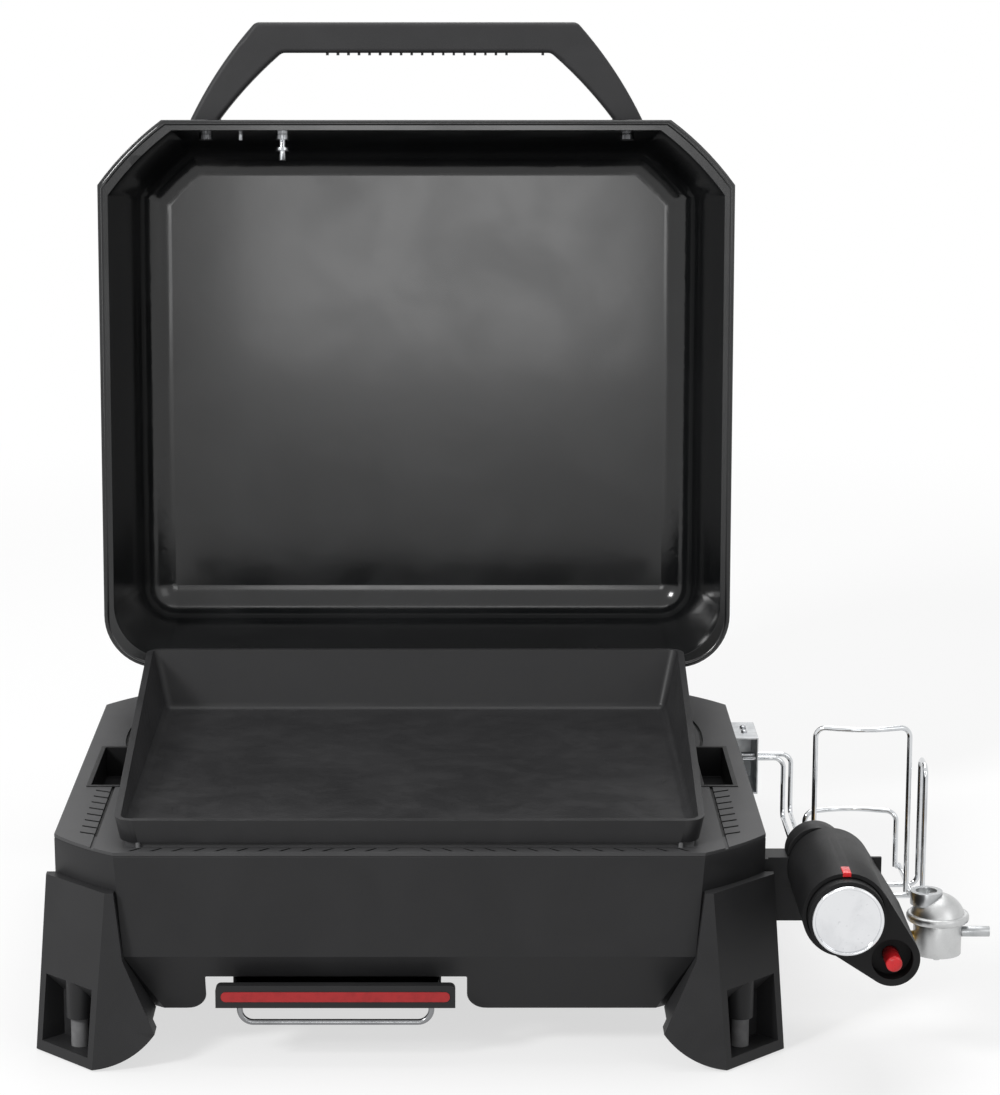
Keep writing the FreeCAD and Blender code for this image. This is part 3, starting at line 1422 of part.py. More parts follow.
def valve():
    """Gas valve held in the bracket, with its jet reaching into the burner tube."""
    x, back, sheet_back = CONTROL_X, S.control_back, S.control_back + S.bracket_sheet
    gap, half = S.valve_gap, S.valve_block / 2
    drum = y_rod("ValveDrum", x, S.valve_front, back, CONTROL_Z, S.valve_radius)
    neck = y_rod("ValveNeck", x, back, sheet_back, CONTROL_Z, S.valve_neck)
    rear = block("ValveBlock", (x - half, x + half), (sheet_back, sheet_back + S.valve_block_depth),
                 (S.deck_height - S.valve_block_low, BRACKET_TOP - S.bracket_sheet - gap))
    jet_start = SIDE - S.jet_inside
    jet = rod("ValveJet", "X", (jet_start, S.burner_inlet, S.deck_height - S.burner_drop), x - jet_start,
              S.jet_radius)
    bore = y_rod("ValveBore", x, S.valve_front - 1, S.valve_front + S.stem_seat + 1, CONTROL_Z,
                 S.stem_radius + S.stem_play)
    node(cut("Valve", fuse("ValveSolid", drum, neck, rear, jet), bore), "valve_body")


def control_bracket():
    """Folded sheet bracket on the right wall that carries the valve and its housing."""
    sheet_thick, top, low = S.bracket_sheet, BRACKET_TOP, S.deck_height - S.bracket_low_drop
    back = S.control_back
    flange = block("BracketFlange", (SIDE, SIDE + sheet_thick), (S.bracket_front, S.bracket_back),
                   (low, top))
    plate = block("BracketPlate", (SIDE, BRACKET_END), (back, back + sheet_thick), (low, top))
    shelf = block("BracketShelf", (SIDE, GUIDE_X + S.guide_outer),
                  (back, back + sheet_thick + S.guide_depth),
                  (top - sheet_thick, top))
    way = y_rod("BracketWay", CONTROL_X, back - 1, back + sheet_thick + 1, CONTROL_Z,
                S.valve_neck + S.screw_play)
    holes = [side_rod(f"BracketHole{name}", place, -1, sheet_thick + 2, S.screw_shank + S.screw_play)
             for name, place, held in side_screw_places() if name.startswith("Bracket")]
    node(cut("Bracket", fuse("BracketSolid", flange, plate, shelf), way, holes), "control_bracket")


def hose_guide():
    """Moulded arch on the bracket's shelf, behind the housing."""
    front = S.control_back + S.bracket_sheet
    outer = y_rod("GuideOuter", GUIDE_X, front, front + S.guide_depth, BRACKET_TOP, S.guide_outer)
    inner = y_rod("GuideInner", GUIDE_X, front - 1, front + S.guide_depth + 1, BRACKET_TOP, S.guide_inner)
    upper = block("GuideUpper", (GUIDE_X - S.guide_outer, GUIDE_X + S.guide_outer),
                  (front, front + S.guide_depth),
                  (BRACKET_TOP, BRACKET_TOP + S.guide_outer))
    node(cut("Guide", common("GuideHalf", outer, upper), inner), "hose_guide")


def igniter():
    """Spark module in the lobe and the push button that slides in it."""
    front = S.lobe_front + S.lobe_cup_depth + S.control_wall
    radius = S.lobe_radius - S.control_wall - S.igniter_play
    module = y_rod("Module", LOBE_X, front, front + S.igniter_length, LOBE_Z, radius)
    tail = front + S.button_inside
    bore = y_rod("ModuleBore", LOBE_X, front - 1, tail + S.button_travel + 1, LOBE_Z,
                 S.button_radius + S.button_play)
    node(cut("IgniterModule", module, bore), "igniter_module")
    node(y_rod("Button", LOBE_X, S.button_front, tail, LOBE_Z, S.button_radius), "igniter_button")


def regulator():
    """Gas regulator: cast body, domed cap, cylinder socket, outlet spigot and the bent link to the valve."""
    x, y, low = REGULATOR_X, S.regulator_y, S.deck_height - S.regulator_low_drop
    high = low + S.regulator_height
    spigot_z = S.deck_height - S.spigot_drop
    nub = rod("RegulatorNub", "Z", (x, y, low - S.nub_length), S.nub_length, S.nub_radius)
    barrel = rod("RegulatorBarrel", "Z", (x, y, low), S.regulator_height, S.regulator_radius)
    inside = S.regulator_radius / 2
    seat = rod("SpigotSeat", "X", (x + inside, y, spigot_z), S.spigot_reach, S.spigot_tenon)
    link_seat = rod("LinkSeat", "X", (x - S.regulator_radius * 1.5, y, S.deck_height - S.link_low_drop),
                    S.regulator_radius, S.link_radius)
    node(cut("Regulator", fuse("RegulatorSolid", barrel, nub), seat, link_seat), "regulator_body")
    rim = rod("DomeRim", "Z", (x, y, high), S.dome_edge, S.dome_radius)
    across, rise = S.dome_radius - S.dome_inset, S.dome_rise
    ball_radius = (across * across + rise * rise) / (2 * rise)
    ball = doc.addObject("Part::Sphere", "DomeBall")
    for prop, value in (("Radius", ball_radius), ("Placement.Base.x", x), ("Placement.Base.y", y),
                        ("Placement.Base.z", high + S.dome_edge + rise - ball_radius)):
        bind(ball, prop, value)
    reach = S.dome_radius + 1
    above = block("DomeAbove", (x - reach, x + reach), (y - reach, y + reach),
                  (high + S.dome_edge, high + reach * 2))
    dome = fuse("DomeSolid", rim, common("DomeTop", ball, above))
    socket_x, socket_top = x - S.socket_shift, S.deck_height - S.socket_drop
    ring = rod("SocketRing", "Z", (socket_x, y, socket_top - S.socket_height), S.socket_height,
               S.socket_radius)
    mouth = rod("SocketMouth", "Z", (socket_x, y, socket_top - S.socket_height - 1), S.socket_height + 2,
                S.socket_bore)
    node(dome, "regulator_cap")
    node(cut("Socket", ring, mouth, dome), "regulator_socket")
    tenon = rod("SpigotTenon", "X", (x + inside, y, spigot_z), S.spigot_reach, S.spigot_tenon)
    pipe = rod("SpigotPipe", "X", (x + S.regulator_radius, y, spigot_z), S.spigot_reach - inside,
               S.spigot_radius)
    spigot_bore = rod("SpigotBore", "X", (x + S.regulator_radius, y, spigot_z), S.spigot_reach,
                      S.spigot_bore)
    node(cut("SpigotPiece", fuse("Spigot", tenon, pipe), spigot_bore), "regulator_spigot")
    start = CONTROL_X + S.valve_block / 2
    link_z, link_low = S.deck_height - S.link_drop, S.deck_height - S.link_low_drop
    route = [(start, y, link_z), (LINK_X, y, link_z), (LINK_X, y, link_low),
             (x - S.regulator_radius / 2, y, link_low)]
    node(drawn_shape("GasLink", bent_wire(route, S.link_radius, S.link_bend)), "gas_link")


def controls():
    """The whole control group on the right side."""
    control_bracket()
    control_housing()
    valve()
    knob()
    hose_guide()
    igniter()
    regulator()


def cradle():
    """Welded wire cradle for the gas cylinder: two bowed hoops, a side hoop and the wires under them."""
    left, right, front, back = CRADLE_LEFT, CRADLE_RIGHT, S.cradle_front, S.cradle_back
    base, wire, bend, centre = S.deck_height - S.cradle_drop, S.wire, S.cradle_bend, (left + right) / 2
    for label, y, top, bow in (("front", front, S.deck_height + S.cradle_front_rise, -S.cradle_bow),
                               ("rear", back, S.deck_height - S.cradle_back_drop, S.cradle_bow)):
        points = [(left, y, base), (left, y, top), (centre, y + bow, top), (right, y, top), (right, y, base)]
        shape = bent_wire(points, wire, [bend, bend * 8, bend])
        node(drawn_shape(f"Hoop_{label}", shape), f"cradle_{label}_hoop")
    under, side_x = base - wire * 2 + S.weld, SIDE_HOOP_X
    top, start = S.deck_height + S.side_hoop_rise, left - wire * 3
    near, far = S.side_hoop_front, S.side_hoop_back
    points = [(start, near, under), (side_x, near, under), (side_x, near, top), (side_x, far, top),
              (side_x, far, under), (start, far, under)]
    node(drawn_shape("SideHoop", bent_wire(points, wire, bend)), "cradle_side_hoop")
    beside = wire * 2 - S.weld
    node(rod("BaseWire", "Y", (right + beside, front - beside, base), back - front + beside * 2, wire),
         "cradle_base_wire")
    hook_y = S.hook_box_front + S.hanger_first
    level, inside = S.deck_height - S.hanger_drop, SIDE + S.hook_box_width - S.hanger_inside
    for label, y, x, end in (("outer", hook_y, left - beside, back - beside),
                             ("inner", hook_y + S.hanger_pitch, left + beside, front - beside)):
        points = [(inside, y, level), (x, y, level), (x, y, base), (x, end, base)]
        node(drawn_shape(f"Hanger_{label}", bent_wire(points, wire, bend)), f"cradle_hanger_{label}")


def hook_box():
    """Folded sheet box on the right wall that the cradle's two hanger wires hook into."""
    skin, right, top = S.hook_box_sheet, SIDE + S.hook_box_width, S.deck_height - S.hook_box_drop
    low, level = S.deck_height - S.hook_box_low_drop, S.deck_height - S.hanger_drop
    solid = block("HookSolid", (SIDE, right), (S.hook_box_front, S.hook_box_back), (low, top))
    hollow = block("HookHollow", (SIDE + skin, right - skin), (S.hook_box_front - 1, S.hook_box_back - skin),
                   (low + skin, top - skin))
    ways = [rod(f"HangerWay{i}", "X",
                (right - skin * 2, S.hook_box_front + S.hanger_first + S.hanger_pitch * i, level),
                skin * 4, S.wire + S.screw_play) for i in range(2)]
    middle = (SIDE + right) / 2
    spots = [(middle, (S.hook_box_front + S.hook_box_back) / 2 + S.rivet_pitch / 2 * step, top)
             for step in (-1, 1)]
    ways += [rod(f"RivetWay{i}", "Z", (x, y, z - skin * 2), skin * 4, S.rivet_radius + S.screw_play)
             for i, (x, y, z) in enumerate(spots)]
    ways += [side_rod(f"HookHole{name}", place, -1, skin + 2, S.screw_shank + S.screw_play)
             for name, place, held in side_screw_places() if name.startswith("Hook")]
    node(cut("HookBox", solid, hollow, ways), "cradle_hook_box")
    rivets = []
    for i, (x, y, z) in enumerate(spots):
        shank = rod(f"RivetShank{i}", "Z", (x, y, z - skin * 2), skin * 2, S.rivet_radius)
        rivets.append(fuse(f"Rivet{i}", shank,
                           rod(f"RivetHead{i}", "Z", (x, y, z), S.rivet_high, S.rivet_head)))
    node(group("Rivets", *rivets), "hook_box_rivets")


def side_screws():
    """Screws that hold the control bracket and the hook box to the right wall."""
    screws = []
    for name, place, held in side_screw_places():
        shank = side_rod(f"SideShank{name}", place, held - S.screw_length, S.screw_length, S.screw_shank)
        head = side_rod(f"SideHead{name}", place, held, S.screw_head_high, S.screw_head)
        screws.append(fuse(f"SideScrew{name}", shank, head))
    node(group("SideScrews", *screws), "side_screws")


BUILDERS = [firebox, deck, grips, griddle_plate, pan, tray_front, tray_rails, legs, feet, leg_screws, burner,
            lid, hinges,
            controls, cradle, hook_box, side_screws]


def open_lid():
    """Swings the lid's pieces, which are drawn closed, up about the hinge axis."""
    axis = Vector(0, number(HINGE_Y), number(HINGE_Z))
    swing = Placement(Vector(), Rotation(Vector(1, 0, 0), -number(S.lid_open)), axis)
    for thing in LID_NODES:
        thing.Placement = swing * thing.Placement


def finish():
    """Checks every object, opens the lid, moves the assembly to its origin and writes the files."""
    doc.recompute()
    for thing in doc.Objects:
        if "Invalid" in thing.State or "Error" in thing.State:
            raise RuntimeError(f"{thing.Label}: {thing.State}")
    open_lid()
    box = FreeCAD.BoundBox()
    for thing in NODES:
        if thing.Shape.isNull() or not thing.Shape.isValid():
            raise RuntimeError(f"{thing.Label}: its shape is not valid")
        box.add(thing.Shape.optimalBoundingBox(False))
    middle = Vector(box.Center.x, box.Center.y, box.ZMin)
    os.makedirs("parts", exist_ok=True)
    for thing in NODES:
        thing.Placement = Placement(-middle, Rotation()) * thing.Placement
        print(thing.Label, len(thing.Shape.Solids), round(thing.Shape.Volume / 1000, 2))
        thing.Shape.exportStep(f"parts/{thing.Label}.step")
    print("middle", middle, "size", box.XLength, box.YLength, box.ZLength)


for make in BUILDERS:
    make()
finish()
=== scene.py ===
"""The looks of a portable tabletop gas griddle with its lid open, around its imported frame."""

from __future__ import annotations

import json
import logging
import math
from collections.abc import Sequence
from dataclasses import dataclass
from enum import Enum
from typing import Optional, Union

import bmesh
import bpy
from mathutils import Matrix, Vector

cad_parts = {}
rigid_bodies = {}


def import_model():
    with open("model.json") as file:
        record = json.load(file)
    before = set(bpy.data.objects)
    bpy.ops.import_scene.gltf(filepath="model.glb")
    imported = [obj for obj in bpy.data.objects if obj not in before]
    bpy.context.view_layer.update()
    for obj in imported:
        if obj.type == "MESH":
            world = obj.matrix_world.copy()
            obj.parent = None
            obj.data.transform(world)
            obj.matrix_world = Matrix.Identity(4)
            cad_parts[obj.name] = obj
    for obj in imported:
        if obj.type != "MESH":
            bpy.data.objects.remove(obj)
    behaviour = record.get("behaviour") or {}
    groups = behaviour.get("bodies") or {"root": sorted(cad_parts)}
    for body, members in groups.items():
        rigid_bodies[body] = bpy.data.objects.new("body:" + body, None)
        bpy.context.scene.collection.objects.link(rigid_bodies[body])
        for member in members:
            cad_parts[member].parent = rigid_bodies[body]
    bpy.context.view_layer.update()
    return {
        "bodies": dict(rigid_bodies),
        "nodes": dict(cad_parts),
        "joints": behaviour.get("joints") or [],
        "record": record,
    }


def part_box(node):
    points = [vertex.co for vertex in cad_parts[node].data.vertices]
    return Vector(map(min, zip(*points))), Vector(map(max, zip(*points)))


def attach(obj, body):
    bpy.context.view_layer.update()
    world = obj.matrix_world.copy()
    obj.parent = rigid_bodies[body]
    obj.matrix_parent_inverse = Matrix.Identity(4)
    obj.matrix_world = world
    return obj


LOG = logging.getLogger("griddle")
MM = 0.001
# A Mix node names its number, vector and colour sockets alike, so the colour ones go by number
MIX_FACTOR, MIX_FIRST, MIX_SECOND, MIX_RESULT = 0, 6, 7, 2

Colour = tuple[float, float, float]
Number = Union[float, "Signal"]


def shade_of(code: str) -> Colour:
    """Turns a hexadecimal sRGB colour into linear light.

    Args:
        code: Six hexadecimal digits after a number sign.

    Returns:
        Linear red, green and blue.
    """
    values = [int(code[i : i + 2], 16) / 255 for i in (1, 3, 5)]
    linear = [v / 12.92 if v <= 0.04045 else ((v + 0.055) / 1.055) ** 2.4 for v in values]
    return (linear[0], linear[1], linear[2])


class Signal:
    """A shader socket that takes part in Python arithmetic. An expression adds its Math nodes."""

    def __init__(self, shader: NodeBench, socket: bpy.types.NodeSocket) -> None:
        """Keeps the tree that the socket belongs to."""
        self.shader = shader
        self.socket = socket

    def maths(self, operation: str, *others: Number) -> Signal:
        """Adds one Math node.

        Args:
            operation: The Math node's operation.
            others: What follows in the node's value sockets.

        Returns:
            The node's result.
        """
        values = dict(enumerate((self, *others)))
        return self.shader.node("ShaderNodeMath", {"operation": operation}, values)

    def __add__(self, other: Number) -> Signal:
        """Sum."""
        return self.maths("ADD", other)

    def __radd__(self, other: float) -> Signal:
        """Sum with a number in front."""
        return self.maths("ADD", other)

    def __sub__(self, other: Number) -> Signal:
        """Difference."""
        return self.maths("SUBTRACT", other)

    def __rsub__(self, other: float) -> Signal:
        """Difference from a number."""
        return self.shader.node("ShaderNodeMath", {"operation": "SUBTRACT"}, {0: other, 1: self})

    def __mul__(self, other: Number) -> Signal:
        """Product."""
        return self.maths("MULTIPLY", other)

    def __rmul__(self, other: float) -> Signal:
        """Product with a number in front."""
        return self.maths("MULTIPLY", other)

    def ramp(self, low: float, high: float) -> Signal:
        """Rises smoothly from 0 to 1 between two values.

        Args:
            low: The value that gives 0.
            high: The value that gives 1.

        Returns:
            The eased mask.
        """
        settings = {"interpolation_type": "SMOOTHSTEP"}
        inputs = {"Value": self, "From Min": low, "From Max": high}
        return self.shader.node("ShaderNodeMapRange", settings, inputs)


class NodeBench:
    """Adds nodes to a material's or the world's tree."""

    def __init__(self, tree: bpy.types.NodeTree) -> None:
        """Empties the tree."""
        self.tree = tree
        self.tree.nodes.clear()

    def node(
        self, kind: str, settings: dict, inputs: dict, output: Union[int, str, None] = 0
    ) -> Optional[Signal]:
        """Adds any node.

        Args:
            kind: The node's type.
            settings: Its properties, set first.
            inputs: Values or signals for its sockets, by name or number.
            output: The output that is returned. A tree's last node has none.

        Returns:
            That output as a signal, or nothing where the node is the last.
        """
        made = self.tree.nodes.new(kind)
        for key, value in settings.items():
            setattr(made, key, value)
        for key, value in inputs.items():
            if isinstance(value, Signal):
                self.tree.links.new(value.socket, made.inputs[key])
            else:
                made.inputs[key].default_value = value
        return None if output is None else Signal(self, made.outputs[output])

    def background_mask(self) -> Signal:
        """Tells the rays that show a surface from those that only light by it.

        Returns:
            1 where the camera, a mirror or glass sees the surface, 0 for the light that it sends on.
        """
        camera = self.node("ShaderNodeLightPath", {}, {}, "Is Camera Ray")
        mirror = self.node("ShaderNodeLightPath", {}, {}, "Is Glossy Ray")
        glass = self.node("ShaderNodeLightPath", {}, {}, "Is Transmission Ray")
        return camera.maths("MAXIMUM", mirror).maths("MAXIMUM", glass)


class ShaderTree(NodeBench):
    """One material's node tree, built node by node."""

    def __init__(self, name: str) -> None:
        """Starts an empty material.

        Args:
            name: The material's name.
        """
        self.material = bpy.data.materials.new(name)
        self.material.use_nodes = True
        super().__init__(self.material.node_tree)
        self.place = self.node("ShaderNodeTexCoord", {}, {}, "Object")

    def noise(self, size: float, detail: float = 3, stretch: Colour = (1, 1, 1), warp: float = 0) -> Signal:
        """Noise with features of a real size.

        Args:
            size: The size of a feature, in metres.
            detail: How many finer layers it has.
            stretch: How many times longer the features are along X, Y and Z.
            warp: How much the noise bends itself.

        Returns:
            A value around 0.5.
        """
        where = self.place
        if tuple(stretch) != (1, 1, 1):
            scale = tuple(1 / s for s in stretch)
            where = self.node("ShaderNodeMapping", {}, {"Vector": self.place, "Scale": scale}, "Vector")
        inputs = {"Vector": where, "Scale": 1 / size, "Detail": detail, "Distortion": warp}
        return self.node("ShaderNodeTexNoise", {"noise_dimensions": "3D"}, inputs, "Fac")

    def cells(self, size: float) -> Signal:
        """Distance to the nearest point of a random set, for pits and moulded grain.

        Args:
            size: The mean distance between the points, in metres.

        Returns:
            The distance, from 0 to about 1.
        """
        return self.node("ShaderNodeTexVoronoi", {}, {"Vector": self.place, "Scale": 1 / size}, "Distance")

    def axis(self, letter: str) -> Signal:
        """One coordinate of the surface point, in metres."""
        return self.node("ShaderNodeSeparateXYZ", {}, {"Vector": self.place}, letter)

    def blend(self, first: Union[Colour, Signal], second: Union[Colour, Signal], share: Number) -> Signal:
        """Mixes two colours.

        Args:
            first: The colour where the share is 0.
            second: The colour where the share is 1.
            share: The mask.

        Returns:
            The mixed colour.
        """
        settings = {"data_type": "RGBA", "clamp_factor": True}
        inputs = {MIX_FACTOR: share, MIX_FIRST: self._paint(first), MIX_SECOND: self._paint(second)}
        return self.node("ShaderNodeMix", settings, inputs, MIX_RESULT)

    @staticmethod
    def _paint(colour: Union[Colour, Signal]) -> Union[tuple[float, ...], Signal]:
        """Gives a plain colour the alpha that its socket wants."""
        return colour if isinstance(colour, Signal) else (*colour, 1)

    def bump(self, height: Number, depth: float) -> Signal:
        """Turns a height into a normal.

        Args:
            height: The height signal, around 0 to 1.
            depth: What a height of 1 is, in metres.

        Returns:
            The normal.
        """
        inputs = {"Height": height, "Distance": depth, "Strength": 1.0}
        return self.node("ShaderNodeBump", {}, inputs, "Normal")

    def surface(self, fixed: dict[str, float], **varied: Union[Number, Colour]) -> bpy.types.Material:
        """Closes the tree with one surface shader.

        Args:
            fixed: Numbers for sockets that are the same all over.
            varied: Signals for colour, roughness, metallic, coat and normal, with underscores for spaces.

        Returns:
            The finished material.
        """
        inputs: dict = dict(fixed)
        for key, value in varied.items():
            inputs[key.replace("_", " ").title()] = value
        shader = self.node("ShaderNodeBsdfPrincipled", {}, inputs, "BSDF")
        self.node("ShaderNodeOutputMaterial", {}, {"Surface": shader}, None)
        return self.material


@dataclass(frozen=True)
class Box:
    """The box of a frame node at rest, in millimetres in the row frame."""

    low: Vector
    high: Vector

    @classmethod
    def of(cls, node: str) -> Box:
        """Measures the node of that name."""
        low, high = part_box(node)
        return cls(low / MM, high / MM)

    @property
    def middle(self) -> Vector:
        """The middle of the box."""
        return (self.low + self.high) / 2

    @property
    def half(self) -> Vector:
        """Half of its size along X, Y and Z."""
        return (self.high - self.low) / 2

    @property
    def front(self) -> Vector:
        """The middle of its front face."""
        return Vector((self.middle.x, self.low.y, self.middle.z))

    @property
    def top(self) -> Vector:
        """The middle of its top face."""
        return Vector((self.middle.x, self.middle.y, self.high.z))


SATIN = {"Specular IOR Level": 0.22}


class Metal(Enum):
    """How a bare metal was worked."""

    BRIGHT = "bright"
    DRAWN = "drawn"
    CAST = "cast"
    SPANGLED = "spangled"


@dataclass(frozen=True)
class PowderCoat:
    """Baked powder paint: a fine orange peel over sheet metal, with dust-light mottling."""

    name: str
    colour: str
    light: str
    roughness: float = 0.5
    cloud_size: float = 60 * MM
    peel_size: float = 1.6 * MM
    grain_size: float = 0.5 * MM
    depth: float = 0.03 * MM

    def material(self) -> bpy.types.Material:
        """Builds the finish.

        Returns:
            Its material.
        """
        shader = ShaderTree(self.name)
        peel = shader.noise(self.peel_size, 2)
        cloud = shader.noise(self.cloud_size, 4, warp=0.4).ramp(0.3, 0.75)
        grain = shader.noise(self.grain_size, 1).ramp(0.35, 0.7)
        share = cloud * 0.55 + grain * 0.25 + peel * 0.2
        colour = self.painted_shade(shader, shader.blend(shade_of(self.colour), shade_of(self.light), share))
        rough = cloud * 0.08 + grain * 0.1 + (self.roughness - 0.08)
        normal = shader.bump(peel + grain * 0.3, self.depth)
        return shader.surface(SATIN, base_color=colour, roughness=rough, normal=normal)

    def painted_shade(self, shader: ShaderTree, colour: Signal) -> Signal:
        """Painted shade laid over the paint's colour: none here."""
        return colour


@dataclass(frozen=True)
class VentedCoat(PowderCoat):
    """Powder paint on the deck, with painted shade: the walls of the vent slots are painted near black.

    The slots are given in millimetres: their row behind the front edge and their two columns
    by how far they lie from the middle and from the front. The shade top is the height over
    the underside up to which the slot walls get the painted shade.
    """

    # Near black colour of the painted shade on the slot walls
    slot_shade: str = "#050505"
    shade_top: float = 2.2
    row_half: float = 212.0
    row_back: tuple[float, float] = (1.5, 15.6)
    column_across: tuple[float, float] = (212.0, 247.0)
    column_back: tuple[float, float] = (44.0, 443.0)

    def painted_shade(self, shader: ShaderTree, colour: Signal) -> Signal:
        """Paints shade on the walls of the slots, which lie below the shade top of the deck.

        Args:
            shader: The tree to draw it in.
            colour: The paint's own colour.

        Returns:
            The colour with the painted shade in its slots.
        """
        deck = Box.of("deck_plate")
        across = (shader.axis("X") - deck.middle.x * MM).maths("ABSOLUTE")
        back = shader.axis("Y") - deck.low.y * MM
        row = across.maths("LESS_THAN", self.row_half * MM) * self.inside(back, self.row_back)
        columns = self.inside(across, self.column_across) * self.inside(back, self.column_back)
        below = shader.axis("Z").maths("LESS_THAN", (deck.low.z + self.shade_top) * MM)
        # Painted shade: the slot walls below the shade top are painted near black
        return shader.blend(colour, shade_of(self.slot_shade), (row + columns) * below)

    @staticmethod
    def inside(value: Signal, span: tuple[float, float]) -> Signal:
        """1 where a value in metres lies in a span in millimetres."""
        return value.maths("GREATER_THAN", span[0] * MM) * value.maths("LESS_THAN", span[1] * MM)


@dataclass(frozen=True)
class Enamel:
    """Glass-hard porcelain enamel: deep gloss, slow ripples, a few pin marks."""

    name: str
    colour: str
    light: str
    roughness: float = 0.16
    coat: float = 0.4
    ripple_size: float = 14 * MM
    haze_size: float = 90 * MM
    pin_gap: float = 3.5 * MM
    depth: float = 0.03 * MM

    def material(self) -> bpy.types.Material:
        """Builds the finish.

        Returns:
            Its material.
        """
        shader = ShaderTree(self.name)
        ripple = shader.noise(self.ripple_size, 2)
        haze = shader.noise(self.haze_size, 4, warp=0.6).ramp(0.35, 0.8)
        pins = 1 - shader.cells(self.pin_gap).ramp(0.02, 0.07)
        colour = shader.blend(shade_of(self.colour), shade_of(self.light), haze * 0.8 + pins * 0.2)
        rough = haze * 0.09 + pins * 0.2 + (self.roughness - 0.03)
        normal = shader.bump(ripple - pins * 0.2, self.depth)
        fixed = {"Coat Roughness": 0.08, "Specular IOR Level": 0.4}
        return shader.surface(fixed, base_color=colour, roughness=rough, coat_weight=self.coat, normal=normal)


@dataclass(frozen=True)
class SeasonedPlate:
    """Rolled steel under baked-on oil: satin, cloudy, with rolling marks and scraper lines."""

    name: str
    colour: str
    light: str
    roughness: float = 0.42
    cloud_size: float = 70 * MM
    blot_size: float = 16 * MM
    rolling_size: float = 0.9 * MM
    scrape_gap: float = 1.4 * MM
    grit_size: float = 0.45 * MM
    depth: float = 0.03 * MM

    def material(self) -> bpy.types.Material:
        """Builds the finish.

        Returns:
            Its material.
        """
        shader = ShaderTree(self.name)
        cloud = shader.noise(self.cloud_size, 5, warp=0.8).ramp(0.3, 0.75)
        blot = shader.noise(self.blot_size, 4, warp=0.5).ramp(0.4, 0.75)
        rolled = shader.noise(self.rolling_size, 3, stretch=(18, 1, 1))
        scraped = shader.noise(self.scrape_gap, 1, stretch=(1, 60, 1)).ramp(0.66, 0.74)
        grit = shader.noise(self.grit_size, 2)
        share = cloud * 0.5 + blot * 0.25 + rolled * 0.15 + scraped * 0.1
        colour = shader.blend(shade_of(self.colour), shade_of(self.light), share)
        rough = cloud * 0.1 + blot * 0.08 + grit * 0.1 - scraped * 0.05 + (self.roughness - 0.1)
        normal = shader.bump(rolled * 0.5 + grit * 0.5 - scraped * 0.25, self.depth)
        return shader.surface(SATIN, base_color=colour, roughness=rough, normal=normal)


@dataclass(frozen=True)
class Moulding:
    """Moulded plastic with an etched grain and faint flow marks."""

    name: str
    colour: str
    light: str
    roughness: float = 0.52
    grain_size: float = 0.8 * MM
    flow_size: float = 45 * MM
    depth: float = 0.05 * MM

    def material(self) -> bpy.types.Material:
        """Builds the finish.

        Returns:
            Its material.
        """
        shader = ShaderTree(self.name)
        grain = shader.cells(self.grain_size)
        fine = shader.noise(self.grain_size / 2, 2)
        flow = shader.noise(self.flow_size, 3, warp=0.7).ramp(0.3, 0.8)
        colour = shader.blend(shade_of(self.colour), shade_of(self.light), flow * 0.6 + grain * 0.4)
        rough = grain * 0.12 + flow * 0.08 + (self.roughness - 0.1)
        normal = shader.bump(grain * 0.7 + fine * 0.3, self.depth)
        return shader.surface(SATIN, base_color=colour, roughness=rough, normal=normal)


@dataclass(frozen=True)
class Rubber:
    """Grey moulded rubber, dull and a little dusty."""

    name: str
    colour: str
    light: str
    roughness: float = 0.74
    dust_size: float = 9 * MM
    pore_size: float = 0.6 * MM
    depth: float = 0.06 * MM

    def material(self) -> bpy.types.Material:
        """Builds the finish.

        Returns:
            Its material.
        """
        shader = ShaderTree(self.name)
        dust = shader.noise(self.dust_size, 5).ramp(0.35, 0.8)
        pores = shader.noise(self.pore_size, 2)
        colour = shader.blend(shade_of(self.colour), shade_of(self.light), dust * 0.8 + pores * 0.2)
        rough = dust * 0.12 + self.roughness
        normal = shader.bump(pores, self.depth)
        return shader.surface(SATIN, base_color=colour, roughness=rough, normal=normal)


@dataclass(frozen=True)
class BareMetal:
    """Metal without paint, in one of four ways of working it."""

    name: str
    colour: str
    dark: str
    worked: Metal
    roughness: float = 0.2
    grain: Colour = (1, 1, 1)
    tarnish_size: float = 22 * MM

    def material(self) -> bpy.types.Material:
        """Builds the finish.

        Returns:
            Its material.
        """
        shader = ShaderTree(self.name)
        tarnish = shader.noise(self.tarnish_size, 4, warp=0.5).ramp(0.4, 0.8)
        mark, depth = self._mark(shader)
        colour = shader.blend(shade_of(self.colour), shade_of(self.dark), tarnish * 0.5 + mark * 0.5)
        rough = tarnish * 0.08 + mark * 0.16 + (self.roughness - 0.06)
        normal = shader.bump(mark, depth)
        return shader.surface({"Metallic": 1.0}, base_color=colour, roughness=rough, normal=normal)

    def _mark(self, shader: ShaderTree) -> tuple[Signal, float]:
        """The mark that the work leaves, and its depth.

        Args:
            shader: The tree to draw it in.

        Returns:
            The mask and what a mask of 1 is in metres.
        """
        if self.worked is Metal.BRIGHT:
            return shader.noise(2.5 * MM, 3).ramp(0.62, 0.8), 0.004 * MM
        if self.worked is Metal.DRAWN:
            return shader.noise(0.35 * MM, 3, stretch=self.grain), 0.012 * MM
        if self.worked is Metal.CAST:
            return shader.noise(0.7 * MM, 4), 0.09 * MM
        return shader.cells(7 * MM), 0.004 * MM


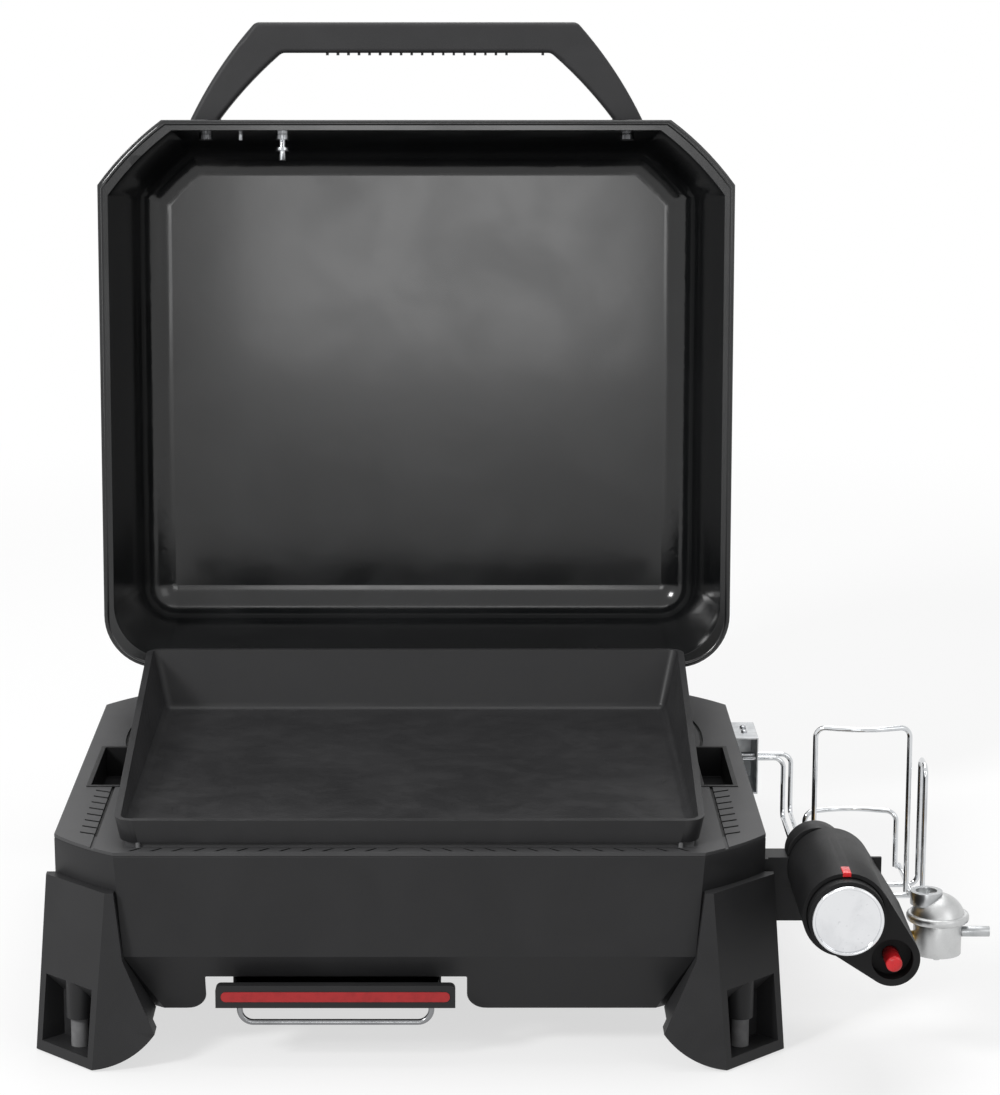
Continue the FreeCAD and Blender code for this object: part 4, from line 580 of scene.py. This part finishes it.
@dataclass(frozen=True)
class Lacquer:
    """Hard glossy colour, as on moulded trim and a painted mark."""

    name: str
    colour: str
    dark: str
    roughness: float = 0.28
    coat: float = 0.3
    flow_size: float = 6 * MM
    peel_size: float = 0.9 * MM
    depth: float = 0.01 * MM

    def material(self) -> bpy.types.Material:
        """Builds the finish.

        Returns:
            Its material.
        """
        shader = ShaderTree(self.name)
        flow = shader.noise(self.flow_size, 3).ramp(0.35, 0.8)
        peel = shader.noise(self.peel_size, 2)
        colour = shader.blend(shade_of(self.colour), shade_of(self.dark), flow * 0.7 + peel * 0.3)
        rough = flow * 0.1 + self.roughness
        normal = shader.bump(peel, self.depth)
        fixed = {"Coat Roughness": 0.1, "Specular IOR Level": 0.25}
        return shader.surface(fixed, base_color=colour, roughness=rough, coat_weight=self.coat, normal=normal)


class Paintbox:
    """Every finish of the griddle, each built once."""

    def __init__(self) -> None:
        """Lists the finishes by name."""
        finishes = [
            VentedCoat("deck_coat", "#3e3e3f", "#49494a", 0.5),
            PowderCoat("firebox_coat", "#222223", "#2b2b2c", 0.5),
            PowderCoat("bracket_coat", "#222223", "#2b2b2c", 0.5),
            Enamel("lid_enamel", "#0e0f10", "#18191a", 0.19, coat=0.2),
            Enamel("pan_enamel", "#111213", "#1a1b1d", 0.38, coat=0.1),
            SeasonedPlate("seasoned_plate", "#232324", "#2c2c2d"),
            Moulding("handle_moulding", "#2d2d2e", "#373738", 0.5),
            Moulding("leg_moulding", "#232324", "#2e2e2f", 0.52),
            Moulding("cup_moulding", "#0f0f10", "#171718", 0.5),
            Moulding("control_moulding", "#09090a", "#111112", 0.56),
            Rubber("foot_rubber", "#666667", "#7c7c7d"),
            BareMetal("bright_chrome", "#e2e3e5", "#c4c6c9", Metal.BRIGHT, 0.09),
            BareMetal("chrome_wire", "#d4d6d8", "#9fa3a8", Metal.BRIGHT, 0.14),
            BareMetal("drawn_steel", "#b4b4b1", "#8b8b88", Metal.DRAWN, 0.28, (1, 24, 1)),
            BareMetal("zinc_screw", "#b8babd", "#85878a", Metal.BRIGHT, 0.28),
            BareMetal("black_zinc", "#626365", "#3c3d3f", Metal.BRIGHT, 0.3),
            BareMetal("cast_regulator", "#cfd0d0", "#a4a5a5", Metal.CAST, 0.34),
            BareMetal("turned_fitting", "#c3c5c6", "#8f9193", Metal.DRAWN, 0.28, (1, 8, 8)),
            BareMetal("gas_brass", "#c8a560", "#8e7038", Metal.DRAWN, 0.28, (8, 1, 8)),
            BareMetal("galvanised_sheet", "#cbcdcf", "#a3a6a8", Metal.SPANGLED, 0.34),
            BareMetal("loop_wire", "#8a8b8d", "#5c5d5f", Metal.BRIGHT, 0.24),
            Lacquer("warm_red", "#ad2427", "#941d20", 0.36),
            Lacquer("signal_red", "#dd2a2f", "#c62328", 0.26),
        ]
        self.finishes = {finish.name: finish.material() for finish in finishes}

    def __getitem__(self, name: str) -> bpy.types.Material:
        """The material of that name."""
        return self.finishes[name]


Point = tuple[float, float, float]
Profile = Sequence[tuple[float, float]]


class Body(str, Enum):
    """The bodies of the frame that the added pieces ride on."""

    BASE = "base"
    LID = "lid"
    KNOB = "knob"
    IGNITER = "igniter"


class Bench:
    """Turns profiles and paths into forms. Profiles are in millimetres, forms and places in metres."""

    SHARPEST_MITRE = 0.3

    @staticmethod
    def lathe(form: bmesh.types.BMesh, profile: Profile, place: Matrix, steps: int) -> None:
        """Turns a profile about the place's Z axis.

        Args:
            form: The mesh that it is added to.
            profile: Radius and height of each point. A radius of 0 closes the form.
            place: Where the turned form stands.
            steps: How many facets it has round its axis.
        """
        turns = [2 * math.pi * i / steps for i in range(steps)]
        rings = []
        for radius, height in profile:
            if radius == 0:
                points = [Vector((0, 0, height))]
            else:
                points = [Vector((radius * math.cos(t), radius * math.sin(t), height)) for t in turns]
            rings.append([form.verts.new(place @ (point * MM)) for point in points])
        for low, high in zip(rings, rings[1:]):
            for i in range(steps):
                j = (i + 1) % steps
                corners = [low[i % len(low)], low[j % len(low)], high[j % len(high)], high[i % len(high)]]
                form.faces.new(list(dict.fromkeys(corners)))

    @classmethod
    def sweep(cls, form: bmesh.types.BMesh, path: Sequence[Vector], up: Vector, profile: Profile) -> None:
        """Runs a closed profile round a flat closed path.

        Args:
            form: The mesh that it is added to.
            path: The points of the path.
            up: The normal of the path's plane.
            profile: Points as distances to the path's right and along up.
        """
        rings = []
        for before, point, after in zip([path[-1], *path], path, [*path[1:], path[0]]):
            way_in, way_out = (point - before).normalized(), (after - point).normalized()
            mitre = (way_in + way_out).normalized()
            right = mitre.cross(up).normalized() / max(cls.SHARPEST_MITRE, mitre.dot(way_out))
            rings.append([form.verts.new(point + (right * u + up * v) * MM) for u, v in profile])
        for first, second in zip(rings, rings[1:] + rings[:1]):
            for i in range(len(profile)):
                form.faces.new((first[i - 1], first[i], second[i], second[i - 1]))

    @staticmethod
    def round_profile(radius: float, steps: int) -> Profile:
        """A circle as a profile of that many points."""
        turns = [2 * math.pi * i / steps for i in range(steps)]
        return [(radius * math.cos(t), radius * math.sin(t)) for t in turns]

    @staticmethod
    def stand(point: Sequence[float], out: Sequence[float]) -> Matrix:
        """A place at a point whose Z axis looks along a direction.

        Args:
            point: The place, in millimetres in the row frame.
            out: The direction of its Z axis.

        Returns:
            The matrix, in metres.
        """
        turn = Vector(out).to_track_quat("Z", "Y").to_matrix().to_4x4()
        return Matrix.Translation(Vector(point) * MM) @ turn


@dataclass
class Assembly:
    """What every sub-assembly shares: the frame it dresses and the paintbox it uses."""

    frame: dict
    paint: Paintbox
    seam: float = 0.002
    soft_angle: float = 38.0
    soft_segments: int = 2

    def coat(self, finish: str, *nodes: str, edge: float = 0.0) -> None:
        """Gives frame nodes a finish, and a softened edge.

        Args:
            finish: The finish's name.
            nodes: The frame nodes.
            edge: The radius of the softened edge, in millimetres. 0 leaves the edges sharp.
        """
        for name in nodes:
            thing = self.frame["nodes"][name]
            thing.data.materials.clear()
            thing.data.materials.append(self.paint[finish])
            weld = thing.modifiers.new("seams", "WELD")
            weld.merge_threshold = self.seam * MM
            if edge:
                soft = thing.modifiers.new("soft_edge", "BEVEL")
                soft.width = edge * MM
                soft.segments = self.soft_segments
                soft.limit_method = "ANGLE"
                soft.angle_limit = math.radians(self.soft_angle)
                soft.use_clamp_overlap = True
            LOG.info("node %s wears %s", name, finish)

    def add(
        self, name: str, form: bmesh.types.BMesh, finish: str, body: Body, slot: str, crease: float = 35
    ) -> None:
        """Makes a piece of a finished form.

        Args:
            name: The piece's name.
            form: Its mesh. It is freed.
            finish: The finish's name.
            body: The body it moves with.
            slot: The record's material slot. It is not used.
            crease: Edges sharper than this, in degrees, stay sharp.
        """
        bmesh.ops.recalc_face_normals(form, faces=form.faces)
        for face in form.faces:
            face.smooth = True
        for edge in form.edges:
            edge.smooth = edge.calc_face_angle(math.pi) < math.radians(crease)
        mesh = bpy.data.meshes.new(name)
        form.to_mesh(mesh)
        form.free()
        mesh.materials.append(self.paint[finish])
        piece = bpy.data.objects.new(name, mesh)
        bpy.context.scene.collection.objects.link(piece)
        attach(piece, body.value)
        LOG.info("piece %s has %d faces", name, len(mesh.polygons))


@dataclass
class Firebox(Assembly):
    """The pressed box, its deck, the grip cups and what stands inside it.

    The side screws' heads are given by the middle of their outer face.
    """

    screw_radius: float = 4.5
    socket: float = 1.9
    bracket_heads: tuple[Point, ...] = ((189.75, -222.44, 101.5), (189.75, -222.44, 129.5))
    hook_box_heads: tuple[Point, ...] = ((188.25, 64.56, 118.0), (188.25, 92.56, 118.0))

    def build(self) -> None:
        """Dresses the box and caps its side screws."""
        self.coat("firebox_coat", "firebox", edge=1.1)
        self.coat("deck_coat", "deck_plate", edge=0.35)
        self.coat("cup_moulding", "grip_cup_left", "grip_cup_right", edge=0.4)
        self.coat("drawn_steel", "burner_tube", "burner_carrier_left", "burner_carrier_right")
        self.coat("zinc_screw", "leg_screws", "hinge_screws", "side_screws")
        self.side_screw_heads()

    def side_screw_heads(self) -> None:
        """Domed heads with a hexagon socket on the screws at the right side."""
        form = bmesh.new()
        for place in (*self.bracket_heads, *self.hook_box_heads):
            SocketHead(self.screw_radius, self.socket).build(form, Bench.stand(place, (1, 0, 0)))
        self.add("side_screw_heads", form, "zinc_screw", Body.BASE, "screw_zinc")


@dataclass(frozen=True)
class SocketHead:
    """A low domed screw head with a hexagon socket, in millimetres."""

    radius: float
    socket: float
    rise: float = 0.9
    steps: int = 24

    def build(self, form: bmesh.types.BMesh, place: Matrix) -> None:
        """Adds the head and its socket to a form.

        Args:
            form: The mesh that it is added to.
            place: The middle of its seat, with Z out of the screw.
        """
        rim, mouth, rise = self.radius * 0.98, self.socket, self.rise
        dome = [(rim, 0), (rim * 0.97, rise * 0.45), (rim * 0.82, rise * 0.8)]
        dome += [(mouth * 1.25, rise), (mouth * 1.12, rise * 0.97)]
        Bench.lathe(form, dome, place, self.steps)
        form.verts.ensure_lookup_table()
        rings = [list(form.verts)[-self.steps :]]
        for height in (rise * 0.9, -rise * 0.4):
            rings.append([form.verts.new(place @ (point * MM)) for point in self.hexagon(height)])
        for low, high in zip(rings, rings[1:]):
            for i in range(self.steps):
                form.faces.new((low[i - 1], low[i], high[i], high[i - 1]))
        form.faces.new(rings[-1])

    def hexagon(self, height: float) -> list[Vector]:
        """Points round the socket's hexagon, as many as the dome has.

        Args:
            height: Their height over the seat, in millimetres.

        Returns:
            The points, anticlockwise.
        """
        points = []
        for i in range(self.steps):
            turn = 2 * math.pi * i / self.steps
            off_flat = (turn + math.pi / 6) % (math.pi / 3) - math.pi / 6
            reach = self.socket * math.cos(math.pi / 6) / math.cos(off_flat)
            points.append(Vector((reach * math.cos(turn), reach * math.sin(turn), height)))
        return points


@dataclass
class Plate(Assembly):
    """The cooking plate on its two pads."""

    def build(self) -> None:
        """Dresses the plate."""
        self.coat("seasoned_plate", "griddle_plate", edge=0.9)
        self.coat("foot_rubber", "plate_pads")


@dataclass
class Tray(Assembly):
    """The grease pan behind its front bar, with the red stripe and the wire loop."""

    def build(self) -> None:
        """Dresses the tray and its rails."""
        self.coat("pan_enamel", "grease_pan", edge=0.4)
        self.coat("bracket_coat", "tray_front_bar", edge=0.7)
        self.coat("warm_red", "tray_stripe", edge=0.25)
        self.coat("loop_wire", "tray_pull_loop")
        self.coat("bracket_coat", "tray_rail_left", "tray_rail_right")


@dataclass
class Legs(Assembly):
    """Four moulded corner legs and their rubber feet."""

    def build(self) -> None:
        """Dresses the legs and their feet."""
        for corner in ("front_left", "front_right", "back_left", "back_right"):
            self.coat("leg_moulding", f"leg_{corner}", edge=0.8)
        self.coat("foot_rubber", "rubber_feet")


@dataclass
class Lid(Assembly):
    """The open lid with its rolled rim, its handle, its fasteners and its hinges.

    The rim is drawn as it lies when closed, from the middle of the deck's front edge.
    """

    front: float = -4.0
    back: float = 469.0
    corner: float = 55.0
    bow: float = 3.0
    bow_steps: int = 10
    rear_corner: float = 46.0
    rear_steps: int = 12
    rim_height: float = 165.7
    bead: float = 2.6
    opened: float = 93.0

    def build(self) -> None:
        """Dresses the lid and rolls its rim."""
        self.coat("lid_enamel", "lid_shell", edge=0.6)
        self.coat("handle_moulding", "lid_handle")
        self.coat("bracket_coat", "hinge_leaf_left", "hinge_leaf_right", edge=0.4)
        self.coat("bracket_coat", "hinge_bracket_left", "hinge_bracket_right", edge=0.4)
        self.coat("drawn_steel", "hinge_pin_left", "hinge_pin_right")
        self.coat("black_zinc", "handle_bolts", "leaf_screws")
        self.coat("zinc_screw", "lid_catch_bolt", "lid_catch_pin")
        self.rolled_rim()

    def lifted(self) -> Matrix:
        """How the lid turns from closed to open.

        Returns:
            The turn about the hinge pins, in metres in the row frame.
        """
        hinge = Matrix.Translation(Box.of("hinge_pin_left").middle * MM)
        return hinge @ Matrix.Rotation(math.radians(-self.opened), 4, "X") @ hinge.inverted()

    def outline(self, inset: float) -> list[tuple[float, float]]:
        """The rim in plan, closed: bowed chamfers in front and round corners behind.

        Args:
            inset: How far it is pulled in.

        Returns:
            Its points, anticlockwise, in millimetres.
        """
        half = Box.of("lid_shell").half.x - inset
        front, back = self.front + inset, self.back - inset
        corner, rear = self.corner, self.rear_corner - inset
        points = self.bowed((half - corner, front), (half, front + corner))
        points += self.quarter((half - rear, back - rear), rear, 0)
        points += self.quarter((-half + rear, back - rear), rear, 90)
        points += self.bowed((-half, front + corner), (-half + corner, front))
        return points

    def bowed(self, start: tuple[float, float], end: tuple[float, float]) -> list[tuple[float, float]]:
        """A flat arc between two points that bulges to the right of its way.

        Args:
            start: Its first point, in millimetres.
            end: Its last point.

        Returns:
            The points along it.
        """
        chord = Vector(end) - Vector(start)
        out = Vector((chord.y, -chord.x)).normalized()
        shares = [i / self.bow_steps for i in range(self.bow_steps + 1)]
        return [tuple(Vector(start) + chord * s + out * (self.bow * 4 * s * (1 - s))) for s in shares]

    def quarter(self, centre: tuple[float, float], radius: float, first: float) -> list[tuple[float, float]]:
        """A quarter turn about a centre that starts at an angle in degrees."""
        turns = [math.radians(first + 90 * i / self.rear_steps) for i in range(self.rear_steps + 1)]
        return [(centre[0] + radius * math.cos(t), centre[1] + radius * math.sin(t)) for t in turns]

    def rolled_rim(self) -> None:
        """The rolled hem round the lid's flange."""
        deck, lifted = Box.of("deck_plate"), self.lifted()
        edge = Vector((deck.middle.x, deck.low.y, self.rim_height))
        path = [lifted @ ((edge + Vector((*point, 0))) * MM) for point in self.outline(self.bead)]
        up = lifted.to_3x3() @ Vector((0, 0, 1))
        form = bmesh.new()
        Bench.sweep(form, path, up, Bench.round_profile(self.bead, 16))
        self.add("lid_rolled_rim", form, "lid_enamel", Body.LID, "lid_enamel", 60)


@dataclass
class Controls(Assembly):
    """The gas control on the right: housing, knob, igniter, regulator and their links.

    The mark's span is measured from the knob's axis. Each step of its fold says how far
    it lies behind the housing's front edge and how far it is drawn in.
    """

    mark_span: tuple[float, float] = (28.6, 31.5)
    mark_fold: Profile = ((0.6, 0.0), (-0.25, 0.0), (-0.5, 0.25))
    seam_steps: int = 72
    crimp_gap: int = 6
    crimp_depth: float = 0.5

    def build(self) -> None:
        """Dresses the control and adds its turned and cast detail."""
        self.coat("control_moulding", "control_housing", edge=0.9)
        self.coat("control_moulding", "knob_grip", edge=1.2)
        self.coat("bright_chrome", "knob_cap", edge=0.5)
        self.coat("signal_red", "index_mark", "igniter_button", edge=0.3)
        self.coat("control_moulding", "igniter_module", edge=0.5)
        self.coat("cup_moulding", "hose_guide", edge=0.5)
        self.coat("bracket_coat", "control_bracket", edge=0.5)
        self.coat("drawn_steel", "knob_stem")
        self.coat("gas_brass", "valve_body", "gas_link", edge=0.4)
        self.coat("cast_regulator", "regulator_body", "regulator_cap", edge=0.8)
        self.coat("turned_fitting", "regulator_socket", "regulator_spigot", edge=0.4)
        self.mark_lip()
        self.cap_rim()
        self.button_dome()
        self.regulator_seam()

    def mark_lip(self) -> None:
        """The red index mark where it turns down over the housing's front edge."""
        knob, half = Box.of("knob_cap").middle, Box.of("index_mark").half.x
        front = Box.of("control_housing").low.y
        low, high = self.mark_span
        form = bmesh.new()
        rows = []
        for behind, drawn_in in self.mark_fold:
            bottom = math.sqrt((low + drawn_in) ** 2 - half**2)
            top = math.sqrt((high - drawn_in) ** 2 - half**2)
            side = half - drawn_in
            corners = ((-side, bottom), (-side, top), (side, top), (side, bottom))
            places = [Vector((knob.x + across, front + behind, knob.z + rise)) for across, rise in corners]
            rows.append([form.verts.new(place * MM) for place in places])
        for near, far in zip(rows, rows[1:]):
            for i in range(len(near)):
                form.faces.new((near[i - 1], near[i], far[i], far[i - 1]))
        form.faces.new(rows[0])
        form.faces.new(rows[-1])
        self.add("index_mark_lip", form, "signal_red", Body.BASE, "stripe_red", 30)

    def cap_rim(self) -> None:
        """The raised, rounded rim of the chrome cap round its bare face."""
        cap = Box.of("knob_cap")
        outer = cap.half.x
        profile = [(outer, -1.6), (outer + 0.1, -0.4), (outer - 0.3, 0.6), (outer - 0.8, 1.0)]
        profile += [(outer - 1.5, 1.0), (outer - 2.0, 0.6), (outer - 2.3, -0.3), (outer - 2.5, -0.78)]
        form = bmesh.new()
        Bench.lathe(form, profile, Bench.stand(cap.front, (0, -1, 0)), 96)
        self.add("knob_cap_rim", form, "bright_chrome", Body.KNOB, "chrome_trim", 50)

    def button_dome(self) -> None:
        """The softly domed face of the igniter's button."""
        button = Box.of("igniter_button")
        wide = button.half.x
        profile = [(wide, -1.0), (wide * 0.99, 0.1), (wide * 0.9, 0.7)]
        profile += [(wide * 0.7, 1.15), (wide * 0.4, 1.4), (0, 1.5)]
        form = bmesh.new()
        Bench.lathe(form, profile, Bench.stand(button.front, (0, -1, 0)), 40)
        self.add("igniter_button_dome", form, "signal_red", Body.IGNITER, "stripe_red", 60)

    def regulator_seam(self) -> None:
        """The rolled seam that holds the regulator's halves, with its crimp marks."""
        seat, wide = Box.of("regulator_body").top, Box.of("regulator_cap").half.x
        profile = [(wide - 0.2, -0.8), (wide + 0.9, -0.3), (wide + 1.4, 0.9)]
        profile += [(wide + 1.4, 3.2), (wide + 0.9, 4.5), (wide - 0.4, 5.1)]
        form = bmesh.new()
        Bench.lathe(form, profile, Bench.stand(seat, (0, 0, 1)), self.seam_steps)
        for i, vertex in enumerate(form.verts):
            ring, step = divmod(i, self.seam_steps)
            if 0 < ring < len(profile) - 1 and step % self.crimp_gap == 0:
                inward = seat.xy * MM - vertex.co.xy
                vertex.co.xy += inward.normalized() * self.crimp_depth * MM
        self.add("regulator_seam", form, "cast_regulator", Body.BASE, "regulator_grey", 50)


@dataclass
class Cradle(Assembly):
    """The wire cradle for a gas cylinder, with its hook box and its welds."""

    weld: float = 2.3
    weld_steps: int = 10
    joints: tuple[Point, ...] = (
        (304.6, -141.9, 85.4), (304.6, -76.9, 85.4), (306.4, -112.9, 83.2),
        (306.4, -140.9, 83.2), (232.6, -141.9, 85.4), (232.6, -76.9, 85.4),
        (228.9, -76.9, 85.4), (234.4, -140.9, 83.2), (234.4, -112.9, 83.2),
    )

    def build(self) -> None:
        """Dresses the wires and the box."""
        for wire in ("front_hoop", "rear_hoop", "side_hoop", "base_wire", "hanger_outer", "hanger_inner"):
            self.coat("chrome_wire", f"cradle_{wire}")
        self.coat("galvanised_sheet", "cradle_hook_box", edge=0.4)
        self.coat("zinc_screw", "hook_box_rivets")
        self.rivet_heads()
        self.welds()

    def rivet_heads(self) -> None:
        """Domed rivet heads on the hook box, each with its broken pin."""
        pair = Box.of("hook_box_rivets")
        wide = pair.half.x
        profile = [(wide, -0.05), (wide * 0.96, 0.35), (wide * 0.75, 0.8)]
        profile += [(wide * 0.42, 1.0), (wide * 0.36, 0.75), (0, 0.7)]
        form = bmesh.new()
        for back in (pair.low.y + wide, pair.high.y - wide):
            place = Bench.stand((pair.middle.x, back, pair.high.z), (0, 0, 1))
            Bench.lathe(form, profile, place, 28)
        self.add("hook_box_rivet_heads", form, "zinc_screw", Body.BASE, "box_galvanised", 50)

    def welds(self) -> None:
        """The spot welds where the wires cross: small uneven beads."""
        form = bmesh.new()
        for i, place in enumerate(self.joints):
            wide = self.weld * (1 + 0.08 * math.sin(i * 2.3))
            turns = [math.pi * k / self.weld_steps for k in range(1, self.weld_steps)]
            flank = [(wide * math.sin(t), -wide * 0.8 * math.cos(t)) for t in turns]
            bead = [(0, -wide * 0.8), *flank, (0, wide * 0.8)]
            Bench.lathe(form, bead, Bench.stand(place, (math.cos(i * 1.7), math.sin(i * 1.7), 0.3)), 18)
        self.add("cradle_welds", form, "chrome_wire", Body.BASE, "wire_chrome", 60)


@dataclass(frozen=True)
class Lamp:
    """One soft box of the studio."""

    name: str
    place: Point
    aim: Point
    wide: float
    high: float
    power: float

    def hang(self) -> None:
        """Hangs the lamp and points it."""
        data = bpy.data.lights.new(self.name, "AREA")
        data.shape = "RECTANGLE"
        data.size, data.size_y, data.energy = self.wide, self.high, self.power
        lamp = bpy.data.objects.new(self.name, data)
        bpy.context.scene.collection.objects.link(lamp)
        lamp.location = self.place
        lamp.rotation_mode = "QUATERNION"
        lamp.rotation_quaternion = (Vector(self.aim) - Vector(self.place)).to_track_quat("-Z", "Y")


@dataclass
class Studio:
    """White floor, soft boxes and the photograph's camera."""

    floor_half: float = 30.0
    camera_place: Point = (-0.04375, -2.62526, 0.87689)
    tilt: float = 11.84
    lens: float = 110.41
    sensor: float = 36.0
    sideways: float = 0.0395
    ambient: float = 0.36
    floor_glow: float = 0.66
    floor_white: float = 0.92
    floor_dim: float = 0.35
    shadow_reach: float = 2.4
    fade_start: float = 0.55
    lamps: tuple[Lamp, ...] = (
        Lamp("key", (-2.2, -2.4, 2.1), (0, 0, 0.25), 0.7, 0.7, 84),
        Lamp("fill", (2.2, -2.4, 1.6), (0, 0, 0.3), 1.6, 1.6, 11),
        Lamp("top", (0.0, 0.3, 3.0), (0, 0, 0.2), 2.2, 1.6, 34),
        Lamp("back", (0.2, 2.4, 2.7), (0, 0, 0.3), 1.8, 1.2, 26),
        Lamp("panel", (-0.08, -5.0, 0.66), (-0.08, 0, 0.5), 1.0, 1.0, 15),
    )

    def build(self) -> None:
        """Sets the stage."""
        self.world()
        self.floor()
        for lamp in self.lamps:
            lamp.hang()
        self.camera()

    def world(self) -> None:
        """White where the camera or a reflection sees it, and a plain grey light elsewhere."""
        world = bpy.data.worlds.new("studio_world")
        world.use_nodes = True
        sky = NodeBench(world.node_tree)
        strength = sky.background_mask() * (1 - self.ambient) + self.ambient
        light = {"Color": (1, 1, 1, 1), "Strength": strength}
        glow = sky.node("ShaderNodeBackground", {}, light, "Background")
        sky.node("ShaderNodeOutputWorld", {}, {"Surface": glow}, None)
        bpy.context.scene.world = world

    def floor(self) -> None:
        """A white floor that keeps the object's shadow and runs out into plain white."""
        form = bmesh.new()
        half = self.floor_half
        corners = ((-half, -half), (half, -half), (half, half), (-half, half))
        form.faces.new([form.verts.new((x, y, 0)) for x, y in corners])
        mesh = bpy.data.meshes.new("floor")
        form.to_mesh(mesh)
        form.free()
        floor = bpy.data.objects.new("floor", mesh)
        bpy.context.scene.collection.objects.link(floor)
        shader = ShaderTree("white_floor")
        seen = shader.background_mask()
        away = shader.node("ShaderNodeVectorMath", {"operation": "LENGTH"}, {0: shader.place}, "Value")
        far = away.ramp(self.shadow_reach * self.fade_start, self.shadow_reach)
        share = seen * (far * (1 - self.floor_glow) + self.floor_glow)
        tint = shader.blend((self.floor_dim,) * 3, (self.floor_white,) * 3, seen)
        paint = shader.node("ShaderNodeBsdfDiffuse", {}, {"Color": tint}, "BSDF")
        glow = shader.node("ShaderNodeEmission", {}, {"Color": (1, 1, 1, 1)}, "Emission")
        mixed = shader.node("ShaderNodeMixShader", {}, {0: share, 1: paint, 2: glow}, "Shader")
        shader.node("ShaderNodeOutputMaterial", {}, {"Surface": mixed}, None)
        mesh.materials.append(shader.material)

    def camera(self) -> None:
        """The camera at the photograph's place."""
        data = bpy.data.cameras.new("camera")
        data.lens, data.sensor_width, data.shift_x = self.lens, self.sensor, self.sideways
        camera = bpy.data.objects.new("camera", data)
        bpy.context.scene.collection.objects.link(camera)
        camera.location = self.camera_place
        camera.rotation_euler = (math.radians(90 - self.tilt), 0, 0)
        bpy.context.scene.camera = camera


def main() -> None:
    """Loads the frame, dresses it and sets the stage."""
    logging.basicConfig(level=logging.INFO, format="%(name)s: %(message)s")
    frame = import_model()
    bpy.context.scene.view_settings.view_transform = "Standard"
    Studio().build()
    paint = Paintbox()
    for assembly in (Firebox, Plate, Tray, Legs, Lid, Controls, Cradle):
        assembly(frame, paint).build()
        LOG.info("%s is done", assembly.__name__)


if __name__ == "__main__":
    main()
